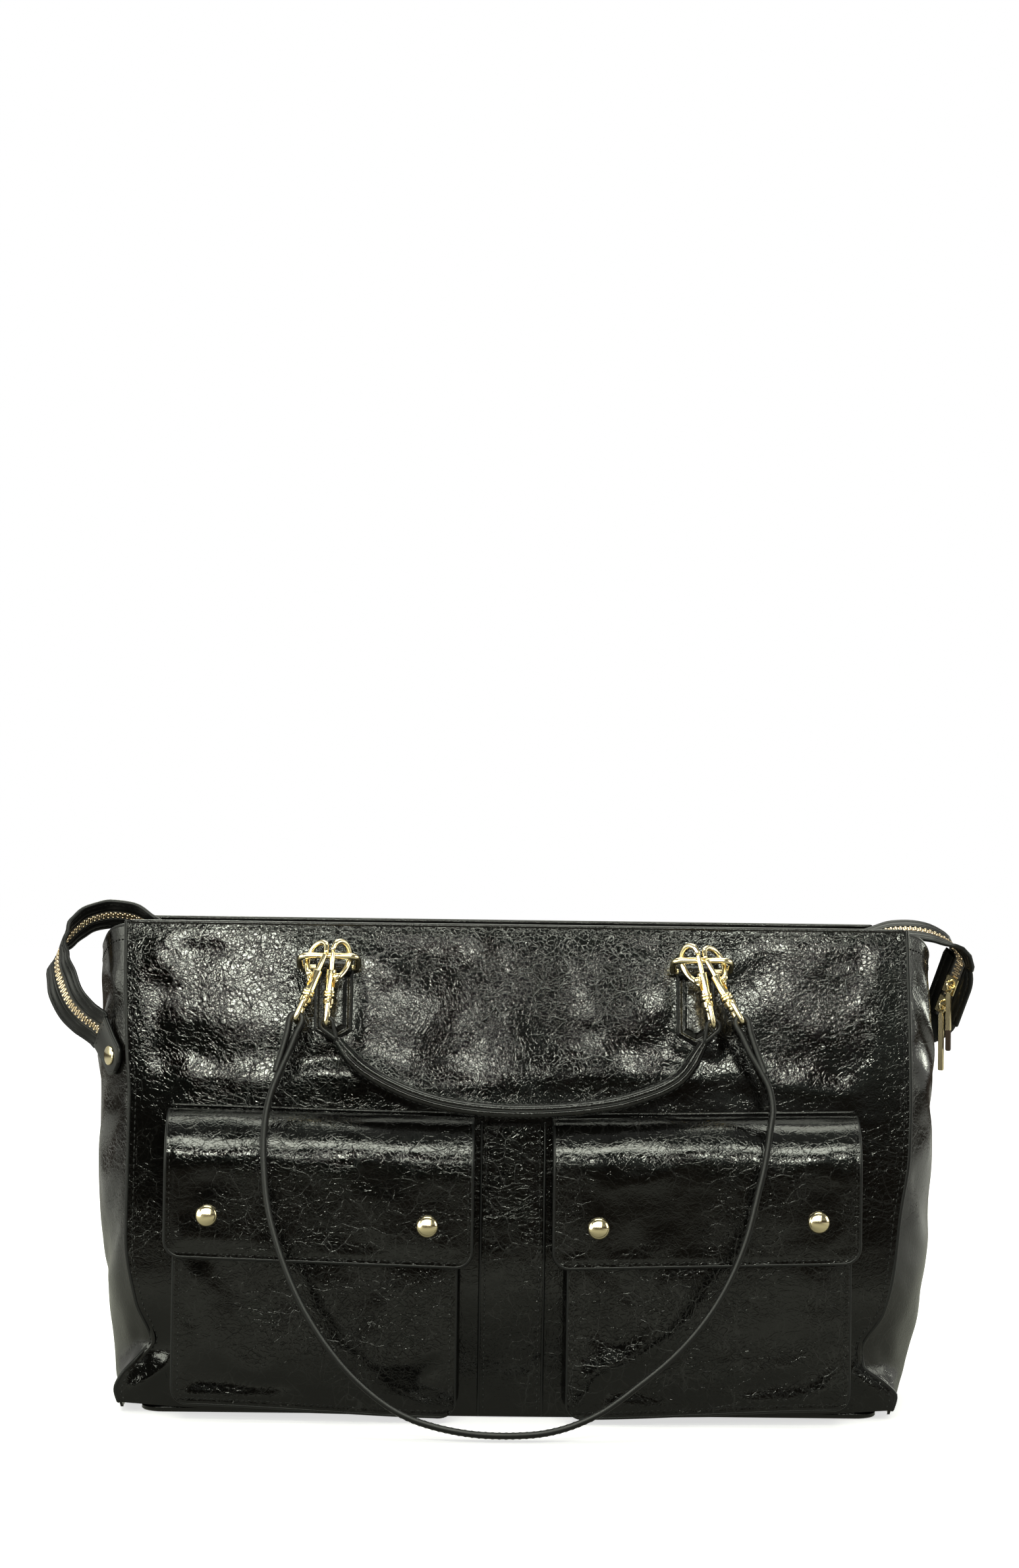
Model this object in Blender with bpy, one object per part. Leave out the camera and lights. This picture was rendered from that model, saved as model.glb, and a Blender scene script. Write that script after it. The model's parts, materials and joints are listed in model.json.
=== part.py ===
"""Diaper bag: a leather tote with two flap pockets, ring-hung handles, a long strap and an
overhanging zip.

Frame: +Z up, front towards -Y, +X to the right seen from the front. The origin is on the floor,
under the middle of the base. Sizes are in millimetres and become metres where a mesh is made.
`side` is -1 for the left and 1 for the right; `way` is -1 for the front and 1 for the back.
"""

import math
from collections import namedtuple

import bmesh
import bpy
import numpy as np
from mathutils import Vector

for old in list(bpy.data.objects):
    bpy.data.objects.remove(old, do_unlink=True)

MM = 0.001
SIDES = {"left": -1, "right": 1}
WAYS = {"front": -1, "back": 1}
RIGHT = np.array([1.0, 0, 0])
FORWARD = np.array([0, -1.0, 0])
UP = np.array([0, 0, 1.0])
SMOOTH_ANGLE = math.radians(35)  # edges sharper than this stay sharp

# ---------------------------------------------------------------- sizes shared between sections
BAG_H = 270.0  # height of the front and back panels
PANEL_T = 1.6  # leather and lining of a panel wall
GUSSET_T = 1.5
GAP = 0.3  # clearance between neighbouring pieces
CLEAR = 0.5  # clearance between a wall and a piece laid against it

POCKET_Y = 103.0  # distance of the pockets' front faces from the bag's middle plane
TAPE_T = 2.4  # thickness of the zip's tape and end tabs

# ---------------------------------------------------------------- materials


def material(name, colour, roughness, metallic=0.0):
    made = bpy.data.materials.new(name)
    made.use_nodes = True
    shader = made.node_tree.nodes["Principled BSDF"]
    shader.inputs["Base Color"].default_value = (*colour, 1)
    shader.inputs["Roughness"].default_value = roughness
    shader.inputs["Metallic"].default_value = metallic
    made.diffuse_color = (*colour, 1)
    return made


PATENT = material("patent_leather", colour=(0.012, 0.011, 0.011), roughness=0.18)
SATIN = material("satin_leather", colour=(0.018, 0.018, 0.018), roughness=0.4)
GOLD = material("gold_hardware", colour=(0.83, 0.66, 0.33), roughness=0.2, metallic=1.0)
CLOTH = material("lining_cloth", colour=(0.05, 0.045, 0.04), roughness=0.9)
BOARD = material("base_board", colour=(0.06, 0.05, 0.04), roughness=0.8)

# ---------------------------------------------------------------- curves and directions


def unit(vector):
    vector = np.asarray(vector, float)
    return vector / np.linalg.norm(vector)


def facing(vector, towards):
    """The vector, turned round if it points away from this direction."""
    return -vector if vector @ towards < 0 else vector


def square(vector, way):
    """The unit vector nearest to this one that is perpendicular to way."""
    vector = np.asarray(vector, float)
    return unit(vector - vector @ way * way)


def ease(share):
    """A share from 0 to 1, slowed at both ends."""
    return share * share * (3 - 2 * share)


def hermite(start, end, start_slope, end_slope, length, share):
    """A point of the cubic between two ends with these slopes, a share of the way along."""
    rest = 1 - share
    return (
        (1 + 2 * share) * rest**2 * start
        + share * rest**2 * length * start_slope
        + ease(share) * end
        - share**2 * rest * length * end_slope
    )


def run_lengths(points):
    """The distance along a polyline at each of its points."""
    steps = np.linalg.norm(np.diff(points, axis=0), axis=1)
    return np.concatenate([[0], np.cumsum(steps)])


def smooth(table):
    """A function: the cubic through the table's points, without overshoot between them."""
    xs, values = np.array(table, float).T
    chords = np.diff(values) / np.diff(xs)
    slopes = np.zeros(len(xs))
    slopes[0], slopes[-1] = chords[0], chords[-1]
    for i in range(1, len(xs) - 1):
        before, after = chords[i - 1], chords[i]
        if before * after > 0:
            slopes[i] = 2 * before * after / (before + after)

    def value(x):
        x = min(max(x, xs[0]), xs[-1])
        i = min(max(np.searchsorted(xs, x) - 1, 0), len(xs) - 2)
        length = xs[i + 1] - xs[i]
        share = (x - xs[i]) / length
        return float(hermite(values[i], values[i + 1], slopes[i], slopes[i + 1], length, share))

    return value


def curve_through(points, count):
    """count points evenly spaced on a Catmull-Rom curve through the control points."""
    points = np.asarray(points, float)
    run = run_lengths(points)
    slopes = np.gradient(points, run, axis=0)
    share = np.linspace(0, 1, 25)[:-1, None]
    fine = [
        hermite(points[i], points[i + 1], slopes[i], slopes[i + 1], length, share)
        for i, length in enumerate(np.diff(run))
    ]
    fine = np.concatenate(fine + [points[-1:]])
    run = run_lengths(fine)
    wanted = np.linspace(0, run[-1], count)
    return np.stack([np.interp(wanted, run, column) for column in fine.T], 1)


def tangents(path, closed=False):
    path = np.asarray(path, float)
    if closed:
        ways = np.roll(path, -1, 0) - np.roll(path, 1, 0)
    else:
        ways = np.gradient(path, axis=0)
    return ways / np.linalg.norm(ways, axis=1)[:, None]


def rounded(corners):
    """A flat outline round corners given as (centre x, centre y, radius, first degree, steps)."""
    return [
        (x + radius * math.cos(angle), y + radius * math.sin(angle))
        for x, y, radius, first, steps in corners
        for angle in np.radians(first + 90 * np.arange(steps + 1) / steps)
    ]


def rounded_rectangle(half_x, half_y, corner, steps):
    x, y = half_x - corner, half_y - corner
    centres = ((x, y, 0), (-x, y, 90), (-x, -y, 180), (x, -y, 270))
    return rounded([(cx, cy, corner, first, steps) for cx, cy, first in centres])


# ---------------------------------------------------------------- shapes: (points, faces)


def slab(near, far):
    """The closed sheet between two grids of the same size."""
    near, far = np.asarray(near, float), np.asarray(far, float)
    rows, columns = near.shape[:2]
    verts = np.concatenate([near.reshape(-1, 3), far.reshape(-1, 3)])
    a = lambda i, j: i * columns + j
    b = lambda i, j: (rows + i) * columns + j
    last_row, last = rows - 1, columns - 1
    faces = []
    for i in range(last_row):
        for j in range(last):
            faces.append([a(i, j), a(i + 1, j), a(i + 1, j + 1), a(i, j + 1)])
            faces.append([b(i, j), b(i, j + 1), b(i + 1, j + 1), b(i + 1, j)])
    for i in range(last_row):
        faces.append([a(i, 0), b(i, 0), b(i + 1, 0), a(i + 1, 0)])
        faces.append([a(i, last), a(i + 1, last), b(i + 1, last), b(i, last)])
    for j in range(last):
        faces.append([a(0, j), a(0, j + 1), b(0, j + 1), b(0, j)])
        faces.append([a(last_row, j), b(last_row, j), b(last_row, j + 1), a(last_row, j + 1)])
    return verts, faces


def vessel(outer, inner, closed):
    """An open-topped vessel between two stacks of outlines; an open one lacks its back wall."""
    outer, inner = np.asarray(outer, float), np.asarray(inner, float)
    rows, count = outer.shape[:2]
    verts = np.concatenate([outer.reshape(-1, 3), inner.reshape(-1, 3)])
    a = lambda i, j: i * count + j % count
    b = lambda i, j: (rows + i) * count + j % count
    top, last = rows - 1, count - 1
    faces = []
    for j in range(count if closed else last):
        for i in range(top):
            faces.append([a(i, j), a(i, j + 1), a(i + 1, j + 1), a(i + 1, j)])
            faces.append([b(i, j), b(i + 1, j), b(i + 1, j + 1), b(i, j + 1)])
        faces.append([a(top, j), a(top, j + 1), b(top, j + 1), b(top, j)])
    faces.append([a(0, j) for j in range(count)][::-1])
    faces.append([b(0, j) for j in range(count)])
    if not closed:
        for i in range(top):
            faces.append([a(i, 0), a(i + 1, 0), b(i + 1, 0), b(i, 0)])
            faces.append([a(i, last), b(i, last), b(i + 1, last), a(i + 1, last)])
        faces.append([a(0, 0), b(0, 0), b(0, last), a(0, last)])
    return verts, faces


def loft(sections, closed=False):
    """A solid through sections of the same number of points; a closed one is a loop."""
    sections = np.asarray(sections, float)
    rows, count = sections.shape[:2]
    faces = []
    for i in range(rows if closed else rows - 1):
        here, after = i * count, (i + 1) % rows * count
        for j in range(count):
            k = (j + 1) % count
            faces.append([here + j, here + k, after + k, after + j])
    if not closed:
        faces.append(list(range(count))[::-1])
        faces.append([(rows - 1) * count + j for j in range(count)])
    return sections.reshape(-1, 3), faces


def rectangle(middle, across, normal, half_across, half_normal):
    """A four-cornered section for a loft."""
    signs = ((-1, -1), (1, -1), (1, 1), (-1, 1))
    return [middle + a * half_across * across + b * half_normal * normal for a, b in signs]


def wire(path, radius, sides, normal, closed=False):
    """A round wire along a flat path whose plane has this normal."""
    normal = unit(normal)
    angles = 2 * math.pi * np.arange(sides) / sides
    sections = []
    for point, way in zip(np.asarray(path, float), tangents(path, closed)):
        across = unit(np.cross(normal, way))
        sections.append(
            [point + radius * (math.cos(a) * across + math.sin(a) * normal) for a in angles]
        )
    return loft(sections, closed)


def turned(profile, centre, axis, sides):
    """A turned solid: profile is (radius, distance along the axis), its ends on the axis."""
    axis = unit(axis)
    across = unit(np.cross(axis, UP if abs(axis[2]) < 0.9 else RIGHT))
    other = np.cross(axis, across)
    centre = np.asarray(centre, float)
    angles = 2 * math.pi * (np.arange(sides) + 0.5) / sides
    verts, faces, rings = [], [], []
    for radius, distance in profile:
        middle = centre + distance * axis
        if radius == 0:
            rings.append([len(verts)])
            verts.append(middle)
        else:
            rings.append(list(range(len(verts), len(verts) + sides)))
            for angle in angles:
                spoke = math.cos(angle) * across + math.sin(angle) * other
                verts.append(middle + radius * spoke)
    for low, high in zip(rings, rings[1:]):
        for j in range(sides):
            k = (j + 1) % sides
            if len(low) == 1 and len(high) > 1:
                faces.append([low[0], high[j], high[k]])
            elif len(high) == 1 and len(low) > 1:
                faces.append([low[j], low[k], high[0]])
            elif len(low) > 1:
                faces.append([low[j], low[k], high[k], high[j]])
    return verts, faces


def rod(radius, start, end, centre, axis, sides):
    """A cylinder between two distances along its axis."""
    profile = [(0, start), (radius, start), (radius, end), (0, end)]
    return turned(profile, centre, axis, sides)


def block(centre, axes, half):
    """A box of these half sizes along three unit axes."""
    return loft([
        rectangle(centre + end * half[0] * axes[0], axes[1], axes[2], half[1], half[2])
        for end in (-1, 1)
    ])


def plate(half_x, half_y, corner, low, high):
    """A flat plate with rounded corners."""
    outline = rounded_rectangle(half_x, half_y, corner, 3)
    return loft([[(x, y, z) for x, y in outline] for z in (low, high)])


# ---------------------------------------------------------------- objects

ORIGINS = {None: np.zeros(3)}  # world place in metres of each pivot


def pivot(name, at, parent=None):
    """An empty on a joint's axis. The pieces of the body that turns there are its children."""
    empty = bpy.data.objects.new(name, None)
    bpy.context.scene.collection.objects.link(empty)
    empty.empty_display_size = 0.01
    here = np.asarray(at, float) * MM
    empty.parent = parent
    empty.location = here - ORIGINS[parent.name if parent else None]
    ORIGINS[name] = here
    return empty


def body(name, shape, finish, parent=None):
    """A mesh object with its normals facing out and its origin on its parent's."""
    verts, faces = shape
    origin = ORIGINS[parent.name if parent else None]
    bm = bmesh.new()
    points = [bm.verts.new(Vector(np.asarray(vert, float) * MM - origin)) for vert in verts]
    for face in faces:
        bm.faces.new([points[i] for i in face])
    bmesh.ops.recalc_face_normals(bm, faces=bm.faces)
    mesh = bpy.data.meshes.new(name)
    bm.to_mesh(mesh)
    bm.free()
    mesh.shade_smooth()
    mesh.set_sharp_from_angle(angle=SMOOTH_ANGLE)
    mesh.materials.append(finish)
    obj = bpy.data.objects.new(name, mesh)
    bpy.context.scene.collection.objects.link(obj)
    obj.parent = parent
    return obj


def boolean(obj, operation, tool):
    modifier = obj.modifiers.new(operation.lower(), "BOOLEAN")
    modifier.operation = operation
    modifier.solver = "EXACT"
    modifier.object = tool
    return modifier


def helper(obj, name, shape):
    """A hidden piece that shares obj's material and parent."""
    made = body(name, shape, obj.data.materials[0], obj.parent)
    made.hide_render = True
    made.display_type = "WIRE"
    return made


def join(obj, name, shape):
    return boolean(obj, "UNION", helper(obj, name, shape))


def cut(obj, name, shape):
    return boolean(obj, "DIFFERENCE", helper(obj, name, shape))


# ---------------------------------------------------------------- shell of the bag

CROWN = 3.0  # how far the front and back panels belly out
CROWN_REACH = 218.0  # distance from the middle at which the belly has died away
# (height, distance from the middle plane)
HALF_DEPTH = [(0, 78), (30, 80), (75, 84), (150, 80), (246, 68), (270, 64)]
# (height, distance of the panels' edge from the middle)
LEFT_EDGE = [
    (0, 215), (8, 217), (17, 214), (29, 205), (40, 198), (62, 206), (98, 212), (173, 212),
    (199, 214), (236, 216), (270, 217),
]
RIGHT_EDGE = [
    (0, 211), (9, 213), (18, 206), (28, 195), (39, 194), (60, 205), (80, 210), (114, 214),
    (147, 219), (181, 220), (270, 219),
]
# (height, distance of the gusset's outermost line from the middle)
LEFT_GUSSET = [(0, 217), (23, 222), (52, 227), (110, 232), (183, 235), (270, 236)]
RIGHT_GUSSET = [(0, 215), (23, 226), (52, 234), (110, 239), (183, 240), (270, 240)]
PANEL_ROWS = [GAP, 10, 20, 31, 42, 62, 90, 120, 155, 190, 230, BAG_H]  # heights
PANEL_COLUMNS = 13

GUSSET_H = BAG_H - 2
GUSSET_INSET = 1.0  # how far the gusset's seams lie inside the panels' edges
GUSSET_SAG = 17.0  # how far the gusset's top dips at its middle
GUSSET_ROWS = [GAP, 12, 31, 52, 90, 140, 190, 232, GUSSET_H]  # heights at the seams
GUSSET_COLUMNS = [-1, -0.86, -0.68, -0.42, -0.14, 0.14, 0.42, 0.68, 0.86, 1]  # seam to seam

BASE_X, BASE_Y, BASE_T = 204.0, 73.5, 3.0
BOARD_X, BOARD_Y, BOARD_T = 184.0, 70.0, 2.5
BOARD_Z = BASE_T + 0.4
CORNER_R = 12.0  # plan corners of the base, the board and the lining

LINING_T = 0.9
# (height, half width, half depth)
LINING_ROWS = [
    (6.4, 184, 70), (20, 184, 72), (50, 190, 76), (110, 202, 76), (180, 204, 70), (251, 206, 60),
]

depth_at = smooth(HALF_DEPTH)
edge_at = {-1: smooth(LEFT_EDGE), 1: smooth(RIGHT_EDGE)}
side_at = {-1: smooth(LEFT_GUSSET), 1: smooth(RIGHT_GUSSET)}


def panel_y(x, z):
    """Distance of a panel's outer face from the bag's middle plane."""
    belly = max(0.0, 1 - (x / CROWN_REACH) ** 2)
    return depth_at(z) + CROWN * belly * math.sin(math.pi * min(max(z, 0), BAG_H) / BAG_H)


def standing_y(x, z, reach):
    """The panel's greatest distance from the middle plane within this reach above and below."""
    return max(panel_y(x, z + dz) for dz in (-reach, 0, reach))


def panel(name, way):
    outer = []
    for z in PANEL_ROWS:
        xs = np.linspace(-edge_at[-1](z), edge_at[1](z), PANEL_COLUMNS)
        outer.append([[x, way * panel_y(x, z), z] for x in xs])
    outer = np.array(outer)
    body(name, slab(outer, outer - [0, way * PANEL_T, 0]), PATENT)


def seam_depth(z):
    """Distance of a gusset's seams from the middle plane."""
    return depth_at(z) - PANEL_T - CLEAR


def gusset_point(side, across, z):
    """The outer face of a gusset: across runs from -1 at the front seam to 1 at the back one."""
    start = edge_at[side](z) - GUSSET_INSET
    reach = start + (side_at[side](z) - start) * (1 - abs(across) ** 3)
    return np.array([side * reach, across * seam_depth(z), z])


def gusset_frame(side, y, z):
    """A point of the gusset's outer face, its outward normal, and the way along it to +Y."""
    dz = 0.5
    step = dz / 70
    across = y / seam_depth(z)
    back = unit(gusset_point(side, across + step, z) - gusset_point(side, across - step, z))
    up = unit(gusset_point(side, across, z + dz) - gusset_point(side, across, z - dz))
    normal = facing(unit(np.cross(back, up)), side * RIGHT)
    return gusset_point(side, across, z), normal, back


def gusset(name, side):
    outer = np.array([
        [
            gusset_point(side, t, row / GUSSET_H * (GUSSET_H - GUSSET_SAG * (1 - t * t) ** 2))
            for t in GUSSET_COLUMNS
        ]
        for row in GUSSET_ROWS
    ])
    normal = np.cross(np.gradient(outer, axis=1), np.gradient(outer, axis=0))
    normal /= np.linalg.norm(normal, axis=2)[..., None]
    normal[..., 2] = 0.0  # the wall is thickened level, so its foot and top keep their heights
    normal *= np.where(normal[..., :1] * side < 0, -1, 1)
    return body(name, slab(outer, outer - GUSSET_T * normal), PATENT)


def lining(name):
    """A thin open bag of cloth that stands inside the leather, clear of every wall."""

    def rings(inset):
        return [
            [
                (x, y, z + (inset if i == 0 else 0))
                for x, y in rounded_rectangle(half_x - inset, half_y - inset, CORNER_R, 2)
            ]
            for i, (z, half_x, half_y) in enumerate(LINING_ROWS)
        ]

    body(name, vessel(rings(0), rings(LINING_T), closed=True), CLOTH)


for face, way in WAYS.items():
    panel(f"{face}_panel", way)
GUSSETS = {word: gusset(f"{word}_gusset", side) for word, side in SIDES.items()}
body("base_panel", plate(BASE_X, BASE_Y, CORNER_R, 0, BASE_T), PATENT)
body("base_board", plate(BOARD_X, BOARD_Y, CORNER_R, BOARD_Z, BOARD_Z + BOARD_T), BOARD)
lining("lining")

# ---------------------------------------------------------------- zip closure

ZIP_HALF = 12.0  # half width of the zip's overhanging loops
TEETH_HALF, TEETH_T = 2.2, 2.6
ZIP_SLOT = 3.4  # from the middle line to a tape's inner edge
ZIP_Z = 257.0  # height of the closure between the panels
STRAIGHT_X = 190.0  # between here and its mirror place the path's points are used as they are

END_TAB_HALF = 10.0
END_TAB_TIP_HALF = 5.0
END_TAB_SHOULDER = 5.0  # from the rivet on to where the tab narrows
END_TAB_TIP = 9.5  # from the rivet on to the tip
END_TAB_BEND = 6.0  # the tab lies flat from this far before the rivet
END_TAB_LAP = 0.5  # from the zip's end to the tab's start
END_TAB_BACK = 20.0  # from the left rivet back to the zip's end
END_TAB_HOLE_R = 1.9

TabFrame = namedtuple("TabFrame", "rivet normal run front")


def tab_frame(side, y, z, forward, down):
    """Where an end tab's middle lies, its normal, the way it runs, and its front edge's side."""
    point, normal, back = gusset_frame(side, y, z)
    downwards = facing(unit(np.cross(back, normal)), -UP)
    run = unit(down * downwards - forward * back)
    front = facing(unit(np.cross(normal, run)), FORWARD)
    return TabFrame(point + normal * (CLEAR + TAPE_T / 2), normal, run, front)


LEFT_TAB = tab_frame(-1, y=-60.0, z=195.0, forward=0.776, down=0.63)
RIGHT_TAB = tab_frame(1, y=30.0, z=199.0, forward=-0.45, down=0.89)
LEFT_END = LEFT_TAB.rivet - END_TAB_BACK * LEFT_TAB.run
# the right loop's straight stretch, where the sliders run
RIGHT_TOP, RIGHT_END = np.array([260.5, 1.5, 250.5]), np.array([252.0, 17.0, 219.0])
RIGHT_WAY = unit(RIGHT_END - RIGHT_TOP)
RIGHT_FRONT = square([0.70, -0.52, -0.45], RIGHT_WAY)

# (middle line, direction of the front edge, half width), from the left end to the right one
ZIP_PATH = [
    (LEFT_END, LEFT_TAB.front, ZIP_HALF),
    ((-242, -45, 215), (0.55, -0.55, 0.62), ZIP_HALF),
    ((-250, -40, 222.5), (0.66, -0.58, 0.45), ZIP_HALF),
    ((-256, -33, 233), (0.72, -0.62, 0.25), ZIP_HALF),
    ((-260, -25, 244), (0.55, -0.83, 0.1), ZIP_HALF),
    ((-259, -18, 254), (0.1, -0.98, 0.05), ZIP_HALF),
    ((-254, -11, 262), (-0.25, -0.93, 0.2), ZIP_HALF),
    ((-246, -5, 269), (-0.3, -0.86, 0.4), ZIP_HALF),
    ((-234, 0, 272.5), (-0.1, -0.78, 0.62), ZIP_HALF),
    ((-221, 1, 271.5), (0.05, -0.78, 0.62), ZIP_HALF),
    ((-208, 1, 266.5), (0.05, -0.9, 0.4), ZIP_HALF),
    ((-196, 0, 261), (0, -0.98, 0.1), 22),
    ((-184, 0, ZIP_Z + 1), (0, -1, 0), 59),
    ((-160, 0, ZIP_Z), (0, -1, 0), 60),
    ((0, 0, ZIP_Z), (0, -1, 0), 60),
    ((160, 0, ZIP_Z), (0, -1, 0), 60),
    ((184, 0, ZIP_Z + 1), (0, -1, 0), 59),
    ((197, 0, 261.5), (0, -0.98, -0.05), 22),
    ((209, 0, 266.5), (0, -0.95, -0.25), ZIP_HALF),
    ((222, 0, 269), (0, -0.92, -0.39), ZIP_HALF),
    ((236, 0, 269), (0, -0.92, -0.39), ZIP_HALF),
    ((247, -1, 266), (-0.05, -0.95, -0.3), ZIP_HALF),
    ((256, -2, 260), (0.0, -0.99, -0.12), ZIP_HALF),
    ((260.5, -1.425, 252.125), (0.35, -0.88, -0.2), ZIP_HALF),
    (RIGHT_TOP, RIGHT_FRONT, ZIP_HALF),
    ((RIGHT_TOP + RIGHT_END) / 2, RIGHT_FRONT, ZIP_HALF),
    (RIGHT_END, RIGHT_FRONT, ZIP_HALF),
]


def zip_stations():
    """The zip's middle line: (point, front direction, face normal, half width) at each station."""
    points = np.array([point for point, _, _ in ZIP_PATH], float)
    edges = np.array([(*front, half) for _, front, half in ZIP_PATH], float)
    run = run_lengths(points)
    slopes = np.gradient(points, run, axis=0)
    slopes[0] = -LEFT_TAB.run
    slopes[-3:] = RIGHT_WAY
    middles, blends = [], []
    for i, length in enumerate(np.diff(run)):
        steps = 1 if max(abs(points[i][0]), abs(points[i + 1][0])) < STRAIGHT_X else 2
        for share in np.arange(steps) / steps:
            middles.append(
                hermite(points[i], points[i + 1], slopes[i], slopes[i + 1], length, share)
            )
            blends.append(edges[i] * (1 - ease(share)) + edges[i + 1] * ease(share))
    middles.append(points[-1])
    blends.append(edges[-1])
    ways = tangents(middles)
    ways[0] = -LEFT_TAB.run
    ways[-4:] = RIGHT_WAY
    stations = []
    for middle, blend, way in zip(middles, blends, ways):
        front = square(blend[:3], way)
        stations.append((middle, front, np.cross(front, way), blend[3]))
    return stations


ZIP_STATIONS = zip_stations()


def zip_band(name, edges, thick, finish):
    """A band of the zip; edges gives its two edges, towards the front, from the half width."""
    sections = []
    for middle, front, normal, half in ZIP_STATIONS:
        low, high = edges(half)
        centre = middle + (low + high) / 2 * front
        sections.append(rectangle(centre, front, normal, (high - low) / 2, thick / 2))
    body(name, loft(sections), finish)


zip_band("zip_tape_front", lambda half: (ZIP_SLOT, half), TAPE_T, SATIN)
zip_band("zip_tape_back", lambda half: (-half, -ZIP_SLOT), TAPE_T, SATIN)
zip_band("zip_teeth", lambda half: (-TEETH_HALF, TEETH_HALF), TEETH_T, GOLD)


def end_tab_sections(frame, zip_end, zip_way, zip_front):
    """The tab bends from the zip's end to lie flat on the gusset, then narrows to its tip."""
    length = np.linalg.norm(frame.rivet - zip_end) - END_TAB_BEND
    start = zip_end + END_TAB_LAP * zip_way
    end = frame.rivet - END_TAB_BEND * frame.run
    half_t = TAPE_T / 2
    sections = []
    for share in (0.0, 0.2, 0.4, 0.6, 0.8, 1.0):
        point = hermite(start, end, zip_way, frame.run, length, share)
        way = unit(
            6 * share * (1 - share) * (end - start)
            + (3 * share**2 - 4 * share + 1) * length * zip_way
            + (3 * share**2 - 2 * share) * length * frame.run
        )
        front = square(unit(zip_front * (1 - share) + frame.front * share), way)
        sections.append(rectangle(point, front, np.cross(front, way), END_TAB_HALF, half_t))
    lift = np.cross(frame.front, frame.run)
    for ahead, half in ((END_TAB_SHOULDER, END_TAB_HALF), (END_TAB_TIP, END_TAB_TIP_HALF)):
        point = frame.rivet + ahead * frame.run
        sections.append(rectangle(point, frame.front, lift, half, half_t))
    return sections


def end_tab(word, frame, zip_end, zip_way, zip_front):
    """A leather end tab of the zip, held on the gusset by a rivet through both."""
    name = f"zip_tab_{word}"
    tab = body(name, loft(end_tab_sections(frame, zip_end, zip_way, zip_front)), SATIN)
    hole = cut(tab, name + "_hole", rod(END_TAB_HOLE_R, -6, 4, frame.rivet, frame.normal, 10))
    boolean(GUSSETS[word], "DIFFERENCE", hole.object)
    inside = -TAPE_T / 2 - CLEAR - GUSSET_T  # the gusset's inner face
    outside = TAPE_T / 2  # the tab's outer face
    profile = [
        (0, inside - 1.6), (4, inside - 1.6), (4, inside - 0.6), (1.5, inside - 0.6),
        (1.5, outside + 0.3), (5.4, outside + 0.3), (5.4, outside + 0.9),
        (4.6, outside + 1.5), (0, outside + 1.6),
    ]
    body(f"zip_rivet_{word}", turned(profile, frame.rivet, frame.normal, 14), GOLD)


end_tab("left", LEFT_TAB, LEFT_END, LEFT_TAB.run, LEFT_TAB.front)
end_tab("right", RIGHT_TAB, RIGHT_END, RIGHT_WAY, RIGHT_FRONT)

# ---------------------------------------------------------------- zip sliders and pulls
# sliders ride on the right loop's straight stretch, and their pulls hang from a bail

SLIDER_AT = (21.5, 8.0)  # distance of each slider's middle from the zip's right end
SLIDER_HALF, SLIDER_HALF_W = 5.5, 4.2
PLATE_T = 1.1
PLATE_TOP = TEETH_T / 2 + 0.35 + PLATE_T  # from the middle line to a slider plate's outer face
WALL_OFFSET, WALL_HALF_T = 2.8, 0.27  # the walls between the two plates, in the teeth's slots
BAIL_R, BAIL_WIRE = 2.4, 0.7
BAIL_LEG, BAIL_SINK = 1.7, 0.8  # the bail's legs, and their depth in the slider's plate
EYELET_R, EYELET_WIRE = 1.9, 0.55
PULL_L, PULL_HALF_T = 34.0, 0.8
# (distance down the pull's bar, half width)
PULL_WIDTHS = [(0, 0.9), (2.5, 1.7), (PULL_L - 1.2, 1.7), (PULL_L, 1.0)]

BAG_NORMAL = -np.cross(RIGHT_FRONT, RIGHT_WAY)  # the zip's face that is turned to the bag
PULL_AXIS = unit([RIGHT_FRONT[0], RIGHT_FRONT[1], 0])
PULL_OUT = facing(unit(np.cross(UP, PULL_AXIS)), BAG_NORMAL)


def slider(number, middle):
    """Two plates joined by walls, with a bail on the bag's side; returns its pivot and hinge."""
    empty = pivot(f"zip_slider_{number}_pivot", middle)
    name = f"zip_slider_{number}"
    axes = (RIGHT_WAY, RIGHT_FRONT, BAG_NORMAL)
    plate_half = (SLIDER_HALF, SLIDER_HALF_W, PLATE_T / 2)
    wall_half = (SLIDER_HALF - 1.0, WALL_HALF_T, PLATE_TOP - 0.3)
    plate_offset = (PLATE_TOP - PLATE_T / 2) * BAG_NORMAL
    made = body(name, block(middle + plate_offset, axes, plate_half), GOLD, empty)
    parts = (
        (-plate_offset, plate_half),
        (WALL_OFFSET * RIGHT_FRONT, wall_half),
        (-WALL_OFFSET * RIGHT_FRONT, wall_half),
    )
    for index, (offset, half) in enumerate(parts):
        join(made, f"{name}_part_{index}", block(middle + offset, axes, half))
    hinge = middle + PLATE_TOP * BAG_NORMAL + BAIL_LEG * PULL_OUT
    leg = (BAIL_LEG + BAIL_SINK) * PULL_OUT
    arch = [
        hinge + BAIL_R * (math.cos(angle) * UP + math.sin(angle) * PULL_OUT)
        for angle in np.linspace(0, math.pi, 7)
    ]
    arch = [hinge + BAIL_R * UP - leg] + arch + [hinge - BAIL_R * UP - leg]
    join(made, f"{name}_bail", wire(arch, BAIL_WIRE, 6, PULL_AXIS))
    return empty, hinge


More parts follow.
